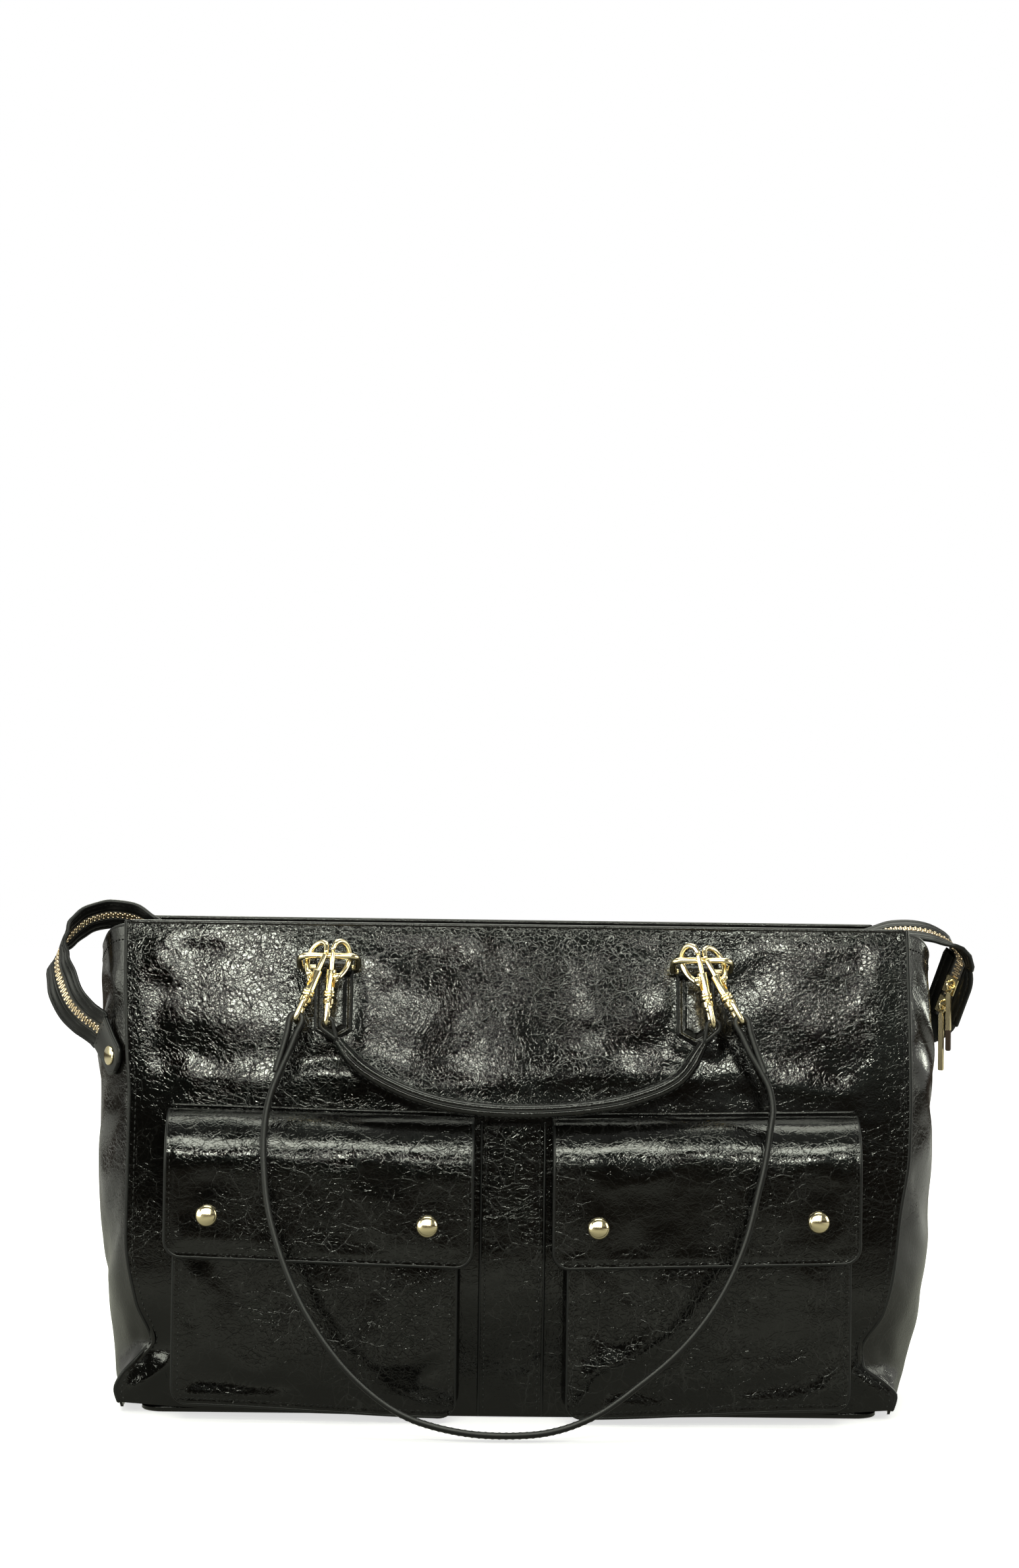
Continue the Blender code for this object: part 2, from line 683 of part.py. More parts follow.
def pull(number, hinge, parent):
    """A bar on an eyelet that hangs in the slider's bail."""
    hang = pivot(f"zip_pull_{number}_pivot", hinge, parent)
    name = f"zip_pull_{number}"
    centre = hinge - BAIL_R * UP
    loop = [
        centre + EYELET_R * (math.cos(angle) * UP + math.sin(angle) * PULL_AXIS)
        for angle in 2 * math.pi * np.arange(12) / 12
    ]
    made = body(name, wire(loop, EYELET_WIRE, 6, PULL_OUT, closed=True), GOLD, hang)
    top = centre - (EYELET_R - 0.2) * UP
    sections = [
        rectangle(top - drop * UP, PULL_AXIS, PULL_OUT, half, PULL_HALF_T)
        for drop, half in PULL_WIDTHS
    ]
    join(made, f"{name}_bar", loft(sections))


for number, distance in enumerate(SLIDER_AT, start=1):
    slider_pivot, pull_hinge = slider(number, RIGHT_END - distance * RIGHT_WAY)
    pull(number, pull_hinge, slider_pivot)

# ---------------------------------------------------------------- centre strip and pockets

STRIP_HALF, STRIP_TOP, STRIP_T = 17.5, 162.0, 1.8
STRIP_ROWS = [1.0, 20, 45, 75, 110, 140, STRIP_TOP - 4, STRIP_TOP]
STRIP_COLUMNS = [-STRIP_HALF, -6, 6, STRIP_HALF]

POCKET_IN, POCKET_OUT = 31.5, 183.0  # the pocket front's inner and outer sides, from the middle
POCKET_FLARE = 4.0  # the pocket's side walls spread by this much where they meet the panel
POCKET_Z0, POCKET_Z1 = 8.0, 141.0
POCKET_T = 1.8
POCKET_CLEAR = 0.9  # from the panel to the pocket's back edges
# (height, distance of the front face from the bag's middle plane)
POCKET_ROWS = [
    (POCKET_Z0, POCKET_Y - 3), (POCKET_Z0 + 12, POCKET_Y - 0.6), (50, POCKET_Y),
    (100, POCKET_Y), (POCKET_Z1, POCKET_Y - 1.0),
]


def strip(name):
    near = np.array(
        [[[x, -(panel_y(x, z) + CLEAR), z] for x in STRIP_COLUMNS] for z in STRIP_ROWS]
    )
    body(name, slab(near, near - [0, STRIP_T, 0]), PATENT)


def pocket_plan(z, front, inset):
    """A pocket's outline at one height, (x, distance from the middle plane), inner end first."""
    inner, outer = POCKET_IN + inset, POCKET_OUT - inset
    front -= inset
    ends = inner - POCKET_FLARE, outer + POCKET_FLARE
    back_in, back_out = [standing_y(x, z, 8) + POCKET_CLEAR for x in ends]
    return [
        (ends[0], back_in),
        (inner - 1.5, back_in + 0.45 * (front - back_in)),
        (inner, front - 5),
        (inner + 1.5, front - 1.5),
        *((x, front) for x in np.linspace(inner + 5, outer - 5, 5)),
        (outer - 1.5, front - 1.5),
        (outer, front - 5),
        (outer + 1.5, back_out + 0.45 * (front - back_out)),
        (ends[1], back_out),
    ]


def pocket(name, side):
    """An open-backed tray of leather that the panel closes, its sides flared at the panel."""

    def rings(inset):
        return [
            [
                (side * x, -y, z + (inset if z == POCKET_Z0 else 0))
                for x, y in pocket_plan(z, front, inset)
            ]
            for z, front in POCKET_ROWS
        ]

    body(name, vessel(rings(0.0), rings(POCKET_T), closed=False), PATENT)


strip("centre_strip")
for word, side in SIDES.items():
    pocket(f"{word}_pocket", side)

# ---------------------------------------------------------------- flaps and studs

FLAP_IN, FLAP_OUT = 22.0, 189.0
FLAP_Z_IN, FLAP_Z_OUT = 165.2, 168.4  # height of the hinge edge at its inner and outer ends
FLAP_DROP_IN, FLAP_DROP_OUT = 80.0, 78.4
FLAP_T = 2.0
FLAP_CORNER = 7.0  # how much the lower corners are raised
# outer face: (distance from the middle plane, height from the hinge edge)
FLAP_PROFILE = np.array([
    (82.6, 0), (88, -0.2), (94, -2.6), (99.5, -8), (103.4, -16), (105.6, -26), (106.8, -42),
    (107.3, -80),
])
FLAP_HINGE_Y = FLAP_PROFILE[0][0]
FLAP_HINGE_Z = (FLAP_Z_IN + FLAP_Z_OUT) / 2
STUDS = {"inner": (46.5, 107.7), "outer": (166.0, 112.4)}  # (distance from the middle, height)
STUD_R = 6.0
STUD_HOLE_R = 3.6


def flap_face(z):
    """How far out the flap's outer face stands at this height."""
    return float(np.interp(z, FLAP_HINGE_Z + FLAP_PROFILE[::-1, 1], FLAP_PROFILE[::-1, 0]))


def flap_shape(side):
    ways = tangents(FLAP_PROFILE)
    bottom = FLAP_PROFILE[-1][1]
    near, far = [], []
    for (y, fall), (way_y, way_z) in zip(FLAP_PROFILE, ways):
        outer_row, inner_row = [], []
        for share in np.linspace(0, 1, 6):
            top = FLAP_Z_IN + share * (FLAP_Z_OUT - FLAP_Z_IN)
            drop = FLAP_DROP_IN + share * (FLAP_DROP_OUT - FLAP_DROP_IN)
            x = side * (FLAP_IN + share * (FLAP_OUT - FLAP_IN))
            z = top + fall * drop / -bottom
            if fall == bottom and share in (0, 1):
                z += FLAP_CORNER
            outer_row.append([x, -y, z])
            # the outer face's normal is (-way_z, way_y)
            inner_row.append([x, -(y + FLAP_T * way_z), z - FLAP_T * way_y])
        near.append(outer_row)
        far.append(inner_row)
    return slab(near, far)


def stud(word, place, at, flap_pivot):
    """A post on the pocket, and a cap that turns with the flap."""
    face = flap_face(at[2])
    foot, under = POCKET_Y + 0.3, face - FLAP_T - 0.1
    post = [
        (0, foot), (4.3, foot), (4.3, foot + 0.7), (1.9, foot + 0.7), (1.9, face + 0.6),
        (1.5, face + 1.0), (0, face + 1.0),
    ]
    body(f"stud_post_{word}_{place}", turned(post, at, FORWARD, 10), GOLD)
    cap = [
        (0, face + 1.9), (2.4, face + 1.9), (2.4, under), (3.2, under), (3.2, face + 0.3),
        (STUD_R, face + 0.3), (STUD_R, face + 1.0), (5.2, face + 2.5), (3.2, face + 3.6),
        (0, face + 4.1),
    ]
    body(f"stud_cap_{word}_{place}", turned(cap, at, FORWARD, 12), GOLD, flap_pivot)


def flap(word, side):
    empty = pivot(f"{word}_flap_pivot", [0, -FLAP_HINGE_Y, FLAP_HINGE_Z])
    made = body(f"{word}_flap", flap_shape(side), PATENT, empty)
    for place, (x, z) in STUDS.items():
        at = [side * x, 0, z]
        cut(made, f"{word}_flap_hole_{place}", rod(STUD_HOLE_R, 95, 120, at, FORWARD, 10))
        stud(word, place, at, empty)


for word, side in SIDES.items():
    flap(word, side)

# ---------------------------------------------------------------- tabs and rings

TAB_X, TAB_HALF, TAB_T = 100.5, 10.0, 2.2
TAB_TIP, TAB_SHOULDER = 206.0, 211.5  # heights of the point and of its upper corners
TUBE_Y, TUBE_Z, TUBE_R, TUBE_BORE = 74.5, 246.0, 3.9, 2.2
TUBE_HALF = TAB_HALF - 0.05
RING_X, RING_W, RING_L, RING_WIRE = 103.0, 35.6, 18.0, 1.75
RING_TILT = math.radians(28)
RING_REACH = RING_L - 2 * RING_WIRE  # between the middles of the ring's two bars
RING_FREE_R, RING_TUBE_R = 5.0, 3.0  # corners at the free bar and at the bar in the tube


def tab(name, side, way):
    """A pointed tab laid on a panel, with a tube at its top that a ring's bar runs through."""
    near, far = [], []
    for rise in np.linspace(0, 1, 5):
        near_row, far_row = [], []
        for across in (-1, -0.5, 0, 0.5, 1):
            x = side * TAB_X + TAB_HALF * across
            low = TAB_SHOULDER + (TAB_TIP - TAB_SHOULDER) * (1 - abs(across))
            z = low + rise * (TUBE_Z - low)
            y = standing_y(x, z, 6) + CLEAR
            near_row.append([x, way * y, z])
            far_row.append([x, way * (y + TAB_T), z])
        near.append(near_row)
        far.append(far_row)
    made = body(name, slab(near, far), SATIN)
    centre = [side * TAB_X, way * TUBE_Y, TUBE_Z]
    join(made, name + "_tube", rod(TUBE_R, -TUBE_HALF, TUBE_HALF, centre, RIGHT, 12))
    cut(made, name + "_bore", rod(TUBE_BORE, -20, 20, centre, RIGHT, 12))


def ring(name, side, way):
    """An oblong ring through the tab's tube, tilted up away from the bag."""
    centre = np.array([side * RING_X, way * TUBE_Y, TUBE_Z])
    empty = pivot(name + "_pivot", centre)
    out = np.array([0, way * math.cos(RING_TILT), math.sin(RING_TILT)])
    half = RING_W / 2 - RING_WIRE
    free_x, free_y = half - RING_FREE_R, RING_REACH - RING_FREE_R
    tube_x = half - RING_TUBE_R
    outline = rounded([
        (free_x, free_y, RING_FREE_R, 0, 4),
        (-free_x, free_y, RING_FREE_R, 90, 4),
        (-tube_x, RING_TUBE_R, RING_TUBE_R, 180, 3),
        (tube_x, RING_TUBE_R, RING_TUBE_R, 270, 3),
    ])
    path = [centre + across * RIGHT + reach * out for across, reach in outline]
    body(name, wire(path, RING_WIRE, 8, np.cross(out, RIGHT), closed=True), GOLD, empty)
    return empty


RINGS = {}
for face, way in WAYS.items():
    for word, side in SIDES.items():
        tab(f"{face}_{word}_tab", side, way)
        RINGS[face, word] = ring(f"{face}_{word}_ring", side, way)

# ---------------------------------------------------------------- snap hooks
# distances down the shank are measured from the level of the ring's free bar

BAR_Y = TUBE_Y + RING_REACH * math.cos(RING_TILT)
BAR_Z = TUBE_Z + RING_REACH * math.sin(RING_TILT)
BAR = {way: np.array([0, way * BAR_Y, BAR_Z]) for way in WAYS.values()}  # the free bars' lines

SNAP_OFFSET = 6.0  # from the hook's opening to the shank's axis
SNAP_TURN = math.radians(45)  # how far each hook's plane is turned about its shank
BARREL_R, BORE_R, CLAW_R = 2.7, 1.75, 1.6
BOLT_R, BOLT_AT, KNOB_AT = 1.35, 5.0, 16.7
SWIVEL_AT = 25.0
EYE_TOP, EYE_BAR, EYE_HALF, EYE_R = 25.4, 38.0, 7.6, 1.4
EYE_TOP_R, EYE_BAR_R = 2.5, 2.3  # corners of the eye
STRAP_TILT, HANDLE_TILT = math.radians(12.5), math.radians(5.0)
SHORT_X, LONG_X = 96.3, 109.3  # where the front hooks sit along the ring's free bar
BACK_X = SHORT_X + 3

# barrel, neck and swivel stem: (radius, distance down the shank)
HOOK_PROFILE = [
    (0, 8), (BARREL_R, 8), (BARREL_R, 20), (3.5, 20.4), (3.5, 23.0), (1.5, 23.4), (1.5, 27.6),
    (2.6, 27.6), (2.6, 29.2), (1.6, 30), (0, 30),
]
# (distance from the bar towards the shank, distance down)
CLAW_POINTS = [
    (3.6, 14.8), (1.4, 12.8), (-2.8, 9.0), (-5.8, 4.0), (-6.4, -1.0), (-4.4, -5.6),
    (-0.2, -7.9), (4.0, -6.9), (SNAP_OFFSET, -3.4),
]
BOLT_PROFILE = [(0, -2.3), (1.0, -2.3), (BOLT_R, -1.6), (BOLT_R, 13.6), (0, 13.6)]
# (radius, distance from the shank's axis)
KNOB_PROFILE = [(0, 0.4), (0.7, 0.4), (0.7, 4.2), (1.5, 4.6), (1.9, 5.6), (1.5, 6.6), (0, 7.0)]
# (x, y, radius, first degree, steps), y being distance down the shank
EYE_CORNERS = [
    (EYE_HALF - EYE_TOP_R, EYE_TOP + EYE_TOP_R, EYE_TOP_R, 270, 2),
    (EYE_HALF - EYE_BAR_R, EYE_BAR - EYE_BAR_R, EYE_BAR_R, 0, 2),
    (-(EYE_HALF - EYE_BAR_R), EYE_BAR - EYE_BAR_R, EYE_BAR_R, 90, 2),
    (-(EYE_HALF - EYE_TOP_R), EYE_TOP + EYE_TOP_R, EYE_TOP_R, 180, 2),
]


def hanging(way, tilt):
    """Of a hanging plane: the direction down it, and its normal away from the bag."""
    down = np.array([0, way * math.sin(tilt), -math.cos(tilt)])
    out = np.array([0, way * math.cos(tilt), math.sin(tilt)])
    return down, out


def snap_hook(name, bar, shank, shank_way, across, normal, parent):
    """The barrel with its claw round the ring's bar, bored for the bolt and slotted for its knob."""
    hook = body(name + "_hook", turned(HOOK_PROFILE, shank, shank_way, 10), GOLD, parent)
    claw = [bar + reach * across + drop * shank_way for reach, drop in CLAW_POINTS]
    join(hook, name + "_claw", wire(curve_through(claw, 13), CLAW_R, 6, normal))
    cut(hook, name + "_bore", rod(BORE_R, 6, 19, shank, shank_way, 10))
    slot_at = shank + 13.7 * shank_way + 3 * normal
    slot = block(slot_at, (shank_way, across, normal), (4.0, 1.0, 3.0))
    cut(hook, name + "_slot", slot)


def snap_bolt(name, shank, shank_way, normal, parent):
    """The bolt that closes the hook, with a knob to draw it."""
    slide = pivot(name + "_bolt_pivot", shank + BOLT_AT * shank_way, parent)
    bolt = body(name + "_bolt", turned(BOLT_PROFILE, shank, shank_way, 8), GOLD, slide)
    join(bolt, name + "_knob", turned(KNOB_PROFILE, shank + 11.7 * shank_way, normal, 8))


def snap_eye(name, shank, shank_way, inward, out, carrier):
    """The swivel eye that a strap's end loops through."""
    path = [shank + drop * shank_way + width * out for width, drop in rounded(EYE_CORNERS)]
    eye = body(name + "_eye", wire(path, EYE_R, 6, inward, closed=True), GOLD, carrier)
    join(eye, name + "_boss", rod(3.3, 23.8, 27.1, shank, shank_way, 10))
    cut(eye, name + "_eye_bore", rod(1.9, 20, 27.35, shank, shank_way, 10))


def snap(name, side, way, bar_x, tilt, lean, barrel_in, carrier):
    """A bolt snap on a ring's free bar; returns the middle of its eye's bar and its shank's way."""
    down, out = hanging(way, tilt)
    outward = side * RIGHT
    shank_way = math.cos(lean) * down + math.sin(lean) * outward
    inward = -math.cos(lean) * outward + math.sin(lean) * down
    level = inward if barrel_in else -inward
    across = math.cos(SNAP_TURN) * level + math.sin(SNAP_TURN) * out
    normal = -math.sin(SNAP_TURN) * level + math.cos(SNAP_TURN) * out
    bar = BAR[way] + side * bar_x * RIGHT
    shank = bar + SNAP_OFFSET * across
    swivel = pivot(name + "_swivel_pivot", shank + SWIVEL_AT * shank_way, carrier)
    snap_hook(name, bar, shank, shank_way, across, normal, swivel)
    snap_bolt(name, shank, shank_way, normal, swivel)
    snap_eye(name, shank, shank_way, inward, out, carrier)
    return shank + EYE_BAR * shank_way, shank_way


SWINGS = {
    name: pivot(f"{name}_pivot", BAR[WAYS[face]], RINGS[face, "left"])
    for name, face in (("front_handle", "front"), ("long_strap", "front"), ("back_handle", "back"))
}
# (name, side, way, place on the bar, tilt, lean in degrees, barrel inside the bar, carrier)
SNAPS = [
    ("long_left", -1, -1, LONG_X, STRAP_TILT, 22, True, "long_strap"),
    ("long_right", 1, -1, LONG_X, STRAP_TILT, 28, True, "long_strap"),
    ("short_left", -1, -1, SHORT_X, HANDLE_TILT, 4, False, "front_handle"),
    ("short_right", 1, -1, SHORT_X, HANDLE_TILT, 12, False, "front_handle"),
    ("back_left", -1, 1, BACK_X, HANDLE_TILT, 8, False, "back_handle"),
    ("back_right", 1, 1, BACK_X, HANDLE_TILT, 8, False, "back_handle"),
]
EYES = {
    key: snap(f"snap_{key}", side, way, x, tilt, math.radians(lean), barrel_in, SWINGS[carrier])
    for key, side, way, x, tilt, lean, barrel_in, carrier in SNAPS
}

# ---------------------------------------------------------------- long strap and handles

STRAP_T, STRAP_W = 3.4, 10.0
STRAP_TAIL = 30.0  # from the eye's bar to the tail's end
PLANE_OFFSET = SNAP_OFFSET * math.sin(SNAP_TURN)  # from the free bar out to the hanging plane
HANDLE_T, HANDLE_W = 8.4, 13.0
HANDLE_END_HALF = 2.6  # half thickness of a handle's ends
HANDLE_EASE = 16.0  # length over which a handle swells to its full section
HANDLE_GAP = 8.5  # from an eye's bar to the handle's end
LOOP_T, LOOP_W = 2.4, 9.6
# a handle's section: shares of its half thickness and half width
HANDLE_SECTION = [
    (-1, -0.45), (-0.62, -1), (0.62, -1), (1, -0.45), (1, 0.45), (0.62, 1), (-0.62, 1), (-1, 0.45),
]
# middle lines as (x, height)
STRAP_CURVE = [
    (-133.6, 172), (-135.2, 155), (-134.4, 137), (-132, 119), (-127.6, 103), (-121.4, 86.5),
    (-111.6, 66.8), (-98.8, 48), (-80.5, 28.5), (-58, 13.2), (-31.5, 5.4), (-4, 3.2),
    (23, 5.8), (44, 13.6), (66.8, 29), (87, 45.5), (105.3, 66.5), (117.2, 86.5),
    (125.2, 106), (130.8, 126.5), (135, 143), (137.9, 159.2), (139.8, 176),
]
FRONT_HANDLE_CURVE = [
    (-86.9, 195.1), (-63.7, 181.4), (-43.8, 174.6), (-13.7, 170.2), (7.3, 169.8), (35.9, 171.6),
    (64.8, 177), (90, 188.5),
]
BACK_HANDLE_CURVE = [
    (-88, 195), (-64, 181.4), (-40, 174), (-14, 170.2), (14, 170.2), (40, 174), (64, 181.4),
    (88, 195),
]


def hanging_points(way, tilt, curve):
    """The points at these (x, height) on a strap's hanging plane, and the plane's normal."""
    down, out = hanging(way, tilt)
    base = BAR[way] + PLANE_OFFSET * out
    points = [x * RIGHT + base + (base[2] - z) / math.cos(tilt) * down for x, z in curve]
    return points, out


def strap_end(eye, beyond, out, side):
    """The strap's loop round an eye's bar, from the tail's end over the bar to the main run."""
    axis = unit(beyond - eye)
    across = facing(unit(np.cross(out, axis)), side * RIGHT)
    half = STRAP_T / 2
    radius, gap, tail = EYE_R + 0.35 + half, half + 0.2, STRAP_TAIL
    closing = gap + 0.45 * (radius - gap)
    places = [
        (tail, gap), (tail * 0.7, gap), (tail * 0.42, gap + 0.25),
        (radius * 1.75, closing), (radius * 0.75, radius * 0.93),
        *((-radius * math.sin(a), radius * math.cos(a)) for a in np.radians([15, 50, 90, 130, 165])),
        (radius * 0.75, -radius * 0.93), (radius * 1.75, -closing),
        (tail * 0.42, -gap - 0.25),
    ]
    return [eye + ahead * axis + aside * across for ahead, aside in places]


def long_strap(name):
    """One band from eye to eye, doubled back at both ends."""
    middle, out = hanging_points(-1, STRAP_TILT, STRAP_CURVE)
    head = strap_end(EYES["long_left"][0], middle[0], out, -1)
    foot = strap_end(EYES["long_right"][0], middle[-1], out, 1)
    between = curve_through([head[-1]] + middle + [foot[-1]], 56)[1:-1]
    path = np.array(head + list(between) + foot[::-1])
    sections = [
        rectangle(point, unit(np.cross(out, way)), out, STRAP_T / 2, STRAP_W / 2)
        for point, way in zip(path, tangents(path))
    ]
    body(name, loft(sections), SATIN, SWINGS[name])


def handle_end(eye, shank_way, side):
    """(x, height) of a handle's end: below its eye, along the shank and turned a bit inwards."""
    point = eye + HANDLE_GAP * unit(shank_way - 0.75 * side * RIGHT)
    return point[0], point[2]


def handle_loop(eye, near, out):
    """A thin leather loop round an eye's bar that draws in towards the handle's end."""
    axis = unit(near - eye)
    across = unit(np.cross(out, axis))
    radius = EYE_R + 0.8 + LOOP_T / 2
    reach = np.linalg.norm(near - eye) + 1.2
    points = []
    for angle in np.linspace(0, 2 * math.pi, 15)[:-1]:
        ahead, aside = radius * math.cos(angle), radius * math.sin(angle)
        if ahead > 0.2 * radius:
            stretch = (math.cos(angle) - 0.2) / 0.8
            ahead = 0.2 * radius + stretch * (reach - 0.2 * radius)
            aside *= 1 - 0.72 * stretch
        points.append(eye + ahead * axis + aside * across)
    sections = [
        rectangle(point, unit(np.cross(out, way)), out, LOOP_T / 2, LOOP_W / 2)
        for point, way in zip(points, tangents(points, closed=True))
    ]
    return loft(sections, closed=True)


def handle(name, way, eyes, middle):
    """A short handle: a padded bar with a thin leather loop at each end."""
    curve = [handle_end(*eyes[0], -1)] + middle + [handle_end(*eyes[1], 1)]
    points, out = hanging_points(way, HANDLE_TILT, curve)
    path = curve_through(points, 25)
    run = run_lengths(path)
    swell = ease(np.clip(np.minimum(run, run[-1] - run) / HANDLE_EASE, 0, 1))
    end_half_w = LOOP_W / 2 + 0.5
    half_t = HANDLE_END_HALF + (HANDLE_T / 2 - HANDLE_END_HALF) * swell
    half_w = end_half_w + (HANDLE_W / 2 - end_half_w) * swell
    sections = []
    for point, run_way, thick, wide in zip(path, tangents(path), half_t, half_w):
        across = unit(np.cross(out, run_way))
        sections.append([point + a * thick * across + b * wide * out for a, b in HANDLE_SECTION])
    made = body(name, loft(sections), PATENT, SWINGS[name])
    for index, ((eye, _), near) in enumerate(zip(eyes, (path[0], path[-1]))):
        union = join(made, f"{name}_loop_{index}", handle_loop(eye, near, out))
        union.use_self = True


long_strap("long_strap")
handle("front_handle", -1, (EYES["short_left"], EYES["short_right"]), FRONT_HANDLE_CURVE)
handle("back_handle", 1, (EYES["back_left"], EYES["back_right"]), BACK_HANDLE_CURVE)
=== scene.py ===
"""Looks of a patent leather diaper bag with gold hardware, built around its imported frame.

The bag stands on the floor at z = 0, about x = y = 0. Its left is -x, its front -y, and z is up.
Lengths are in millimetres until a mesh is made.
"""

import json
import math
from collections import namedtuple

import bmesh
import bpy
import numpy as np
from mathutils import Matrix, Vector

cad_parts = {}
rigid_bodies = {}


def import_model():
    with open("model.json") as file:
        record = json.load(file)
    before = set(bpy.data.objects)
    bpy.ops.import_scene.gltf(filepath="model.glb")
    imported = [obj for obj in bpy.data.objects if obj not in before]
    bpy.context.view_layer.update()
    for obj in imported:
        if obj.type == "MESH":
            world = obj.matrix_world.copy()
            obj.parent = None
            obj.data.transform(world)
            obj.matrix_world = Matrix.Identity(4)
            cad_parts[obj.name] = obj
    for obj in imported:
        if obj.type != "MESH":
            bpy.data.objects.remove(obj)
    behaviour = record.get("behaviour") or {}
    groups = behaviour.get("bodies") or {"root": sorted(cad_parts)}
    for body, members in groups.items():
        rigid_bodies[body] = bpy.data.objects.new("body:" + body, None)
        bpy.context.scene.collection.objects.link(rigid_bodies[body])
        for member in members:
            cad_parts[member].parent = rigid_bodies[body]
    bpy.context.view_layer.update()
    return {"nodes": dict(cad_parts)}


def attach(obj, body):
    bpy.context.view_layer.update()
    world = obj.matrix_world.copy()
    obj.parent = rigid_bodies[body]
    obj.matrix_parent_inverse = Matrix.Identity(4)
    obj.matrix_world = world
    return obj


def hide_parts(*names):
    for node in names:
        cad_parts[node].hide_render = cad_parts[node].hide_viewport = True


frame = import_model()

MM = 0.001
UP = np.array([0, 0, 1.0])
SIDES = {"left": -1, "right": 1}
WAYS = {"front": -1, "back": 1}

# ---------------------------------------------------------------- measurements (mm)

BAG_HIGH, FLOOR_GAP = 270.0, 0.3
CROWN = 3.0  # how far a panel's middle bulges
PANEL_THICK = 1.6
SEAM_X = 214.0  # where the leather's relief dies out towards the side seams

# outlines of the bag: (height, half size)
HALF_DEPTH = [(0, 78), (30, 80), (75, 84), (150, 80), (246, 68), (270, 64)]
LEFT_EDGE = [
    (0, 215), (8, 217), (17, 214), (29, 205), (40, 198), (62, 206),
    (98, 212), (173, 212), (199, 214), (236, 216), (270, 217),
]
RIGHT_EDGE = [
    (0, 211), (9, 213), (18, 206), (28, 195), (39, 194), (60, 205),
    (80, 210), (114, 214), (147, 219), (181, 220), (270, 219),
]
LEFT_GUSSET = [(0, 217), (23, 222), (52, 227), (110, 232), (183, 235), (270, 236)]
RIGHT_GUSSET = [(0, 215), (23, 226), (52, 234), (110, 239), (183, 240), (270, 240)]

BASE_X, BASE_Y, BASE_ROUND = 204, 73.5, 12

POCKET_IN, POCKET_OUT = 31.5, 183.0  # distances of its sides from the bag's middle
POCKET_Y, POCKET_TOP = 103.0, 141.0
POCKET_LIP, POCKET_ROUND = 1.5, 9.0
STRIP_HALF, STRIP_TOP, STRIP_SEAM = 17.5, 162.0, 14.8

FLAP_IN, FLAP_OUT = 22.0, 189.0
FLAP_Z_IN, FLAP_Z_OUT = 165.2, 168.4
FLAP_DROP_IN, FLAP_DROP_OUT, FULL_DROP = 80.0, 78.4, 80.0
FLAP_THICK, FLAP_ROUND = 2.0, 9.0
# bend of a flap from its seam down: (distance out from the bag's middle, height from the seam)
FLAP_PROFILE = [
    (82.6, 0), (88, -0.2), (94, -2.5), (99.4, -7.6), (103.6, -14.5),
    (106.2, -22.5), (107.0, -29), (107.15, -40), (107.3, -80),
]
# (distance from the bag's middle, height)
STUDS = {"inner": (46.5, 107.7), "outer": (166.0, 112.4)}

TAB_X, TAB_HALF, TAB_TIP, TAB_SHOULDER, TAB_THICK = 100.5, 10.0, 206.0, 211.5, 2.2
TUBE_Y, TUBE_Z, TUBE_RADIUS, TUBE_BORE = 74.5, 246.0, 3.9, 2.2

RING_X, RING_WIDE, RING_LONG, RING_WIRE = 103.0, 35.6, 18.0, 1.75
RING_TILT = math.radians(28)
RING_REACH = RING_LONG - 2 * RING_WIRE
BAR_Y = TUBE_Y + RING_REACH * math.cos(RING_TILT)
BAR_Z = TUBE_Z + RING_REACH * math.sin(RING_TILT)

SNAP_OFFSET, SNAP_TURN = 6.0, math.radians(45)
CLAW_RADIUS, BOLT_RADIUS = 1.6, 1.35
EYE_REACH, EYE_HALF, EYE_RADIUS = 38.0, 7.6, 1.4
SHORT_X, LONG_X = 96.3, 109.3

STRAP_TILT, HANDLE_TILT = math.radians(12.5), math.radians(5.0)
STRAP_THICK, STRAP_WIDE = 3.4, 10.0
HANDLE_THICK, HANDLE_WIDE = 8.4, 13.0
LOOP_THICK, LOOP_WIDE = 2.4, 9.6

ZIP_HALF, ZIP_SLOT, ZIP_Z = 12.0, 3.4, 257.0
TAPE_THICK, TEETH_THICK = 2.4, 2.6

# ---------------------------------------------------------------- curves and vectors


def hermite(step, chord, start, end, start_slope, end_slope):
    """A cubic from start to end with these slopes, at step 0 to 1 of the chord."""
    return (
        (1 + 2 * step) * (1 - step) ** 2 * start
        + step * (1 - step) ** 2 * chord * start_slope
        + step * step * (3 - 2 * step) * end
        + step * step * (step - 1) * chord * end_slope
    )


def smooth(table):
    """A function through the table's (place, value) points, without overshoot between them."""
    place, value = np.array(table, float).T
    chord_slope = np.diff(value) / np.diff(place)
    slope = np.zeros(len(place))
    slope[0], slope[-1] = chord_slope[0], chord_slope[-1]
    for i in range(1, len(place) - 1):
        before, after = chord_slope[i - 1], chord_slope[i]
        if before * after > 0:
            slope[i] = 2 * before * after / (before + after)

    def value_at(x):
        x = np.clip(np.asarray(x, float), place[0], place[-1])
        i = np.clip(np.searchsorted(place, x) - 1, 0, len(place) - 2)
        chord = place[i + 1] - place[i]
        step = (x - place[i]) / chord
        return hermite(step, chord, value[i], value[i + 1], slope[i], slope[i + 1])

    return value_at


def unit(vector):
    vector = np.asarray(vector, float)
    return vector / np.linalg.norm(vector)


def units(vectors):
    """Each row scaled to length 1."""
    return vectors / np.maximum(np.linalg.norm(vectors, axis=1), 1e-12)[:, None]


def ramp(x, start, end):
    """0 before start, 1 after end, smooth between them."""
    step = np.clip((np.asarray(x, float) - start) / (end - start), 0, 1)
    return step * step * (3 - 2 * step)


def bell(x, centre, width):
    return np.exp(-(((np.asarray(x, float) - centre) / width) ** 2))


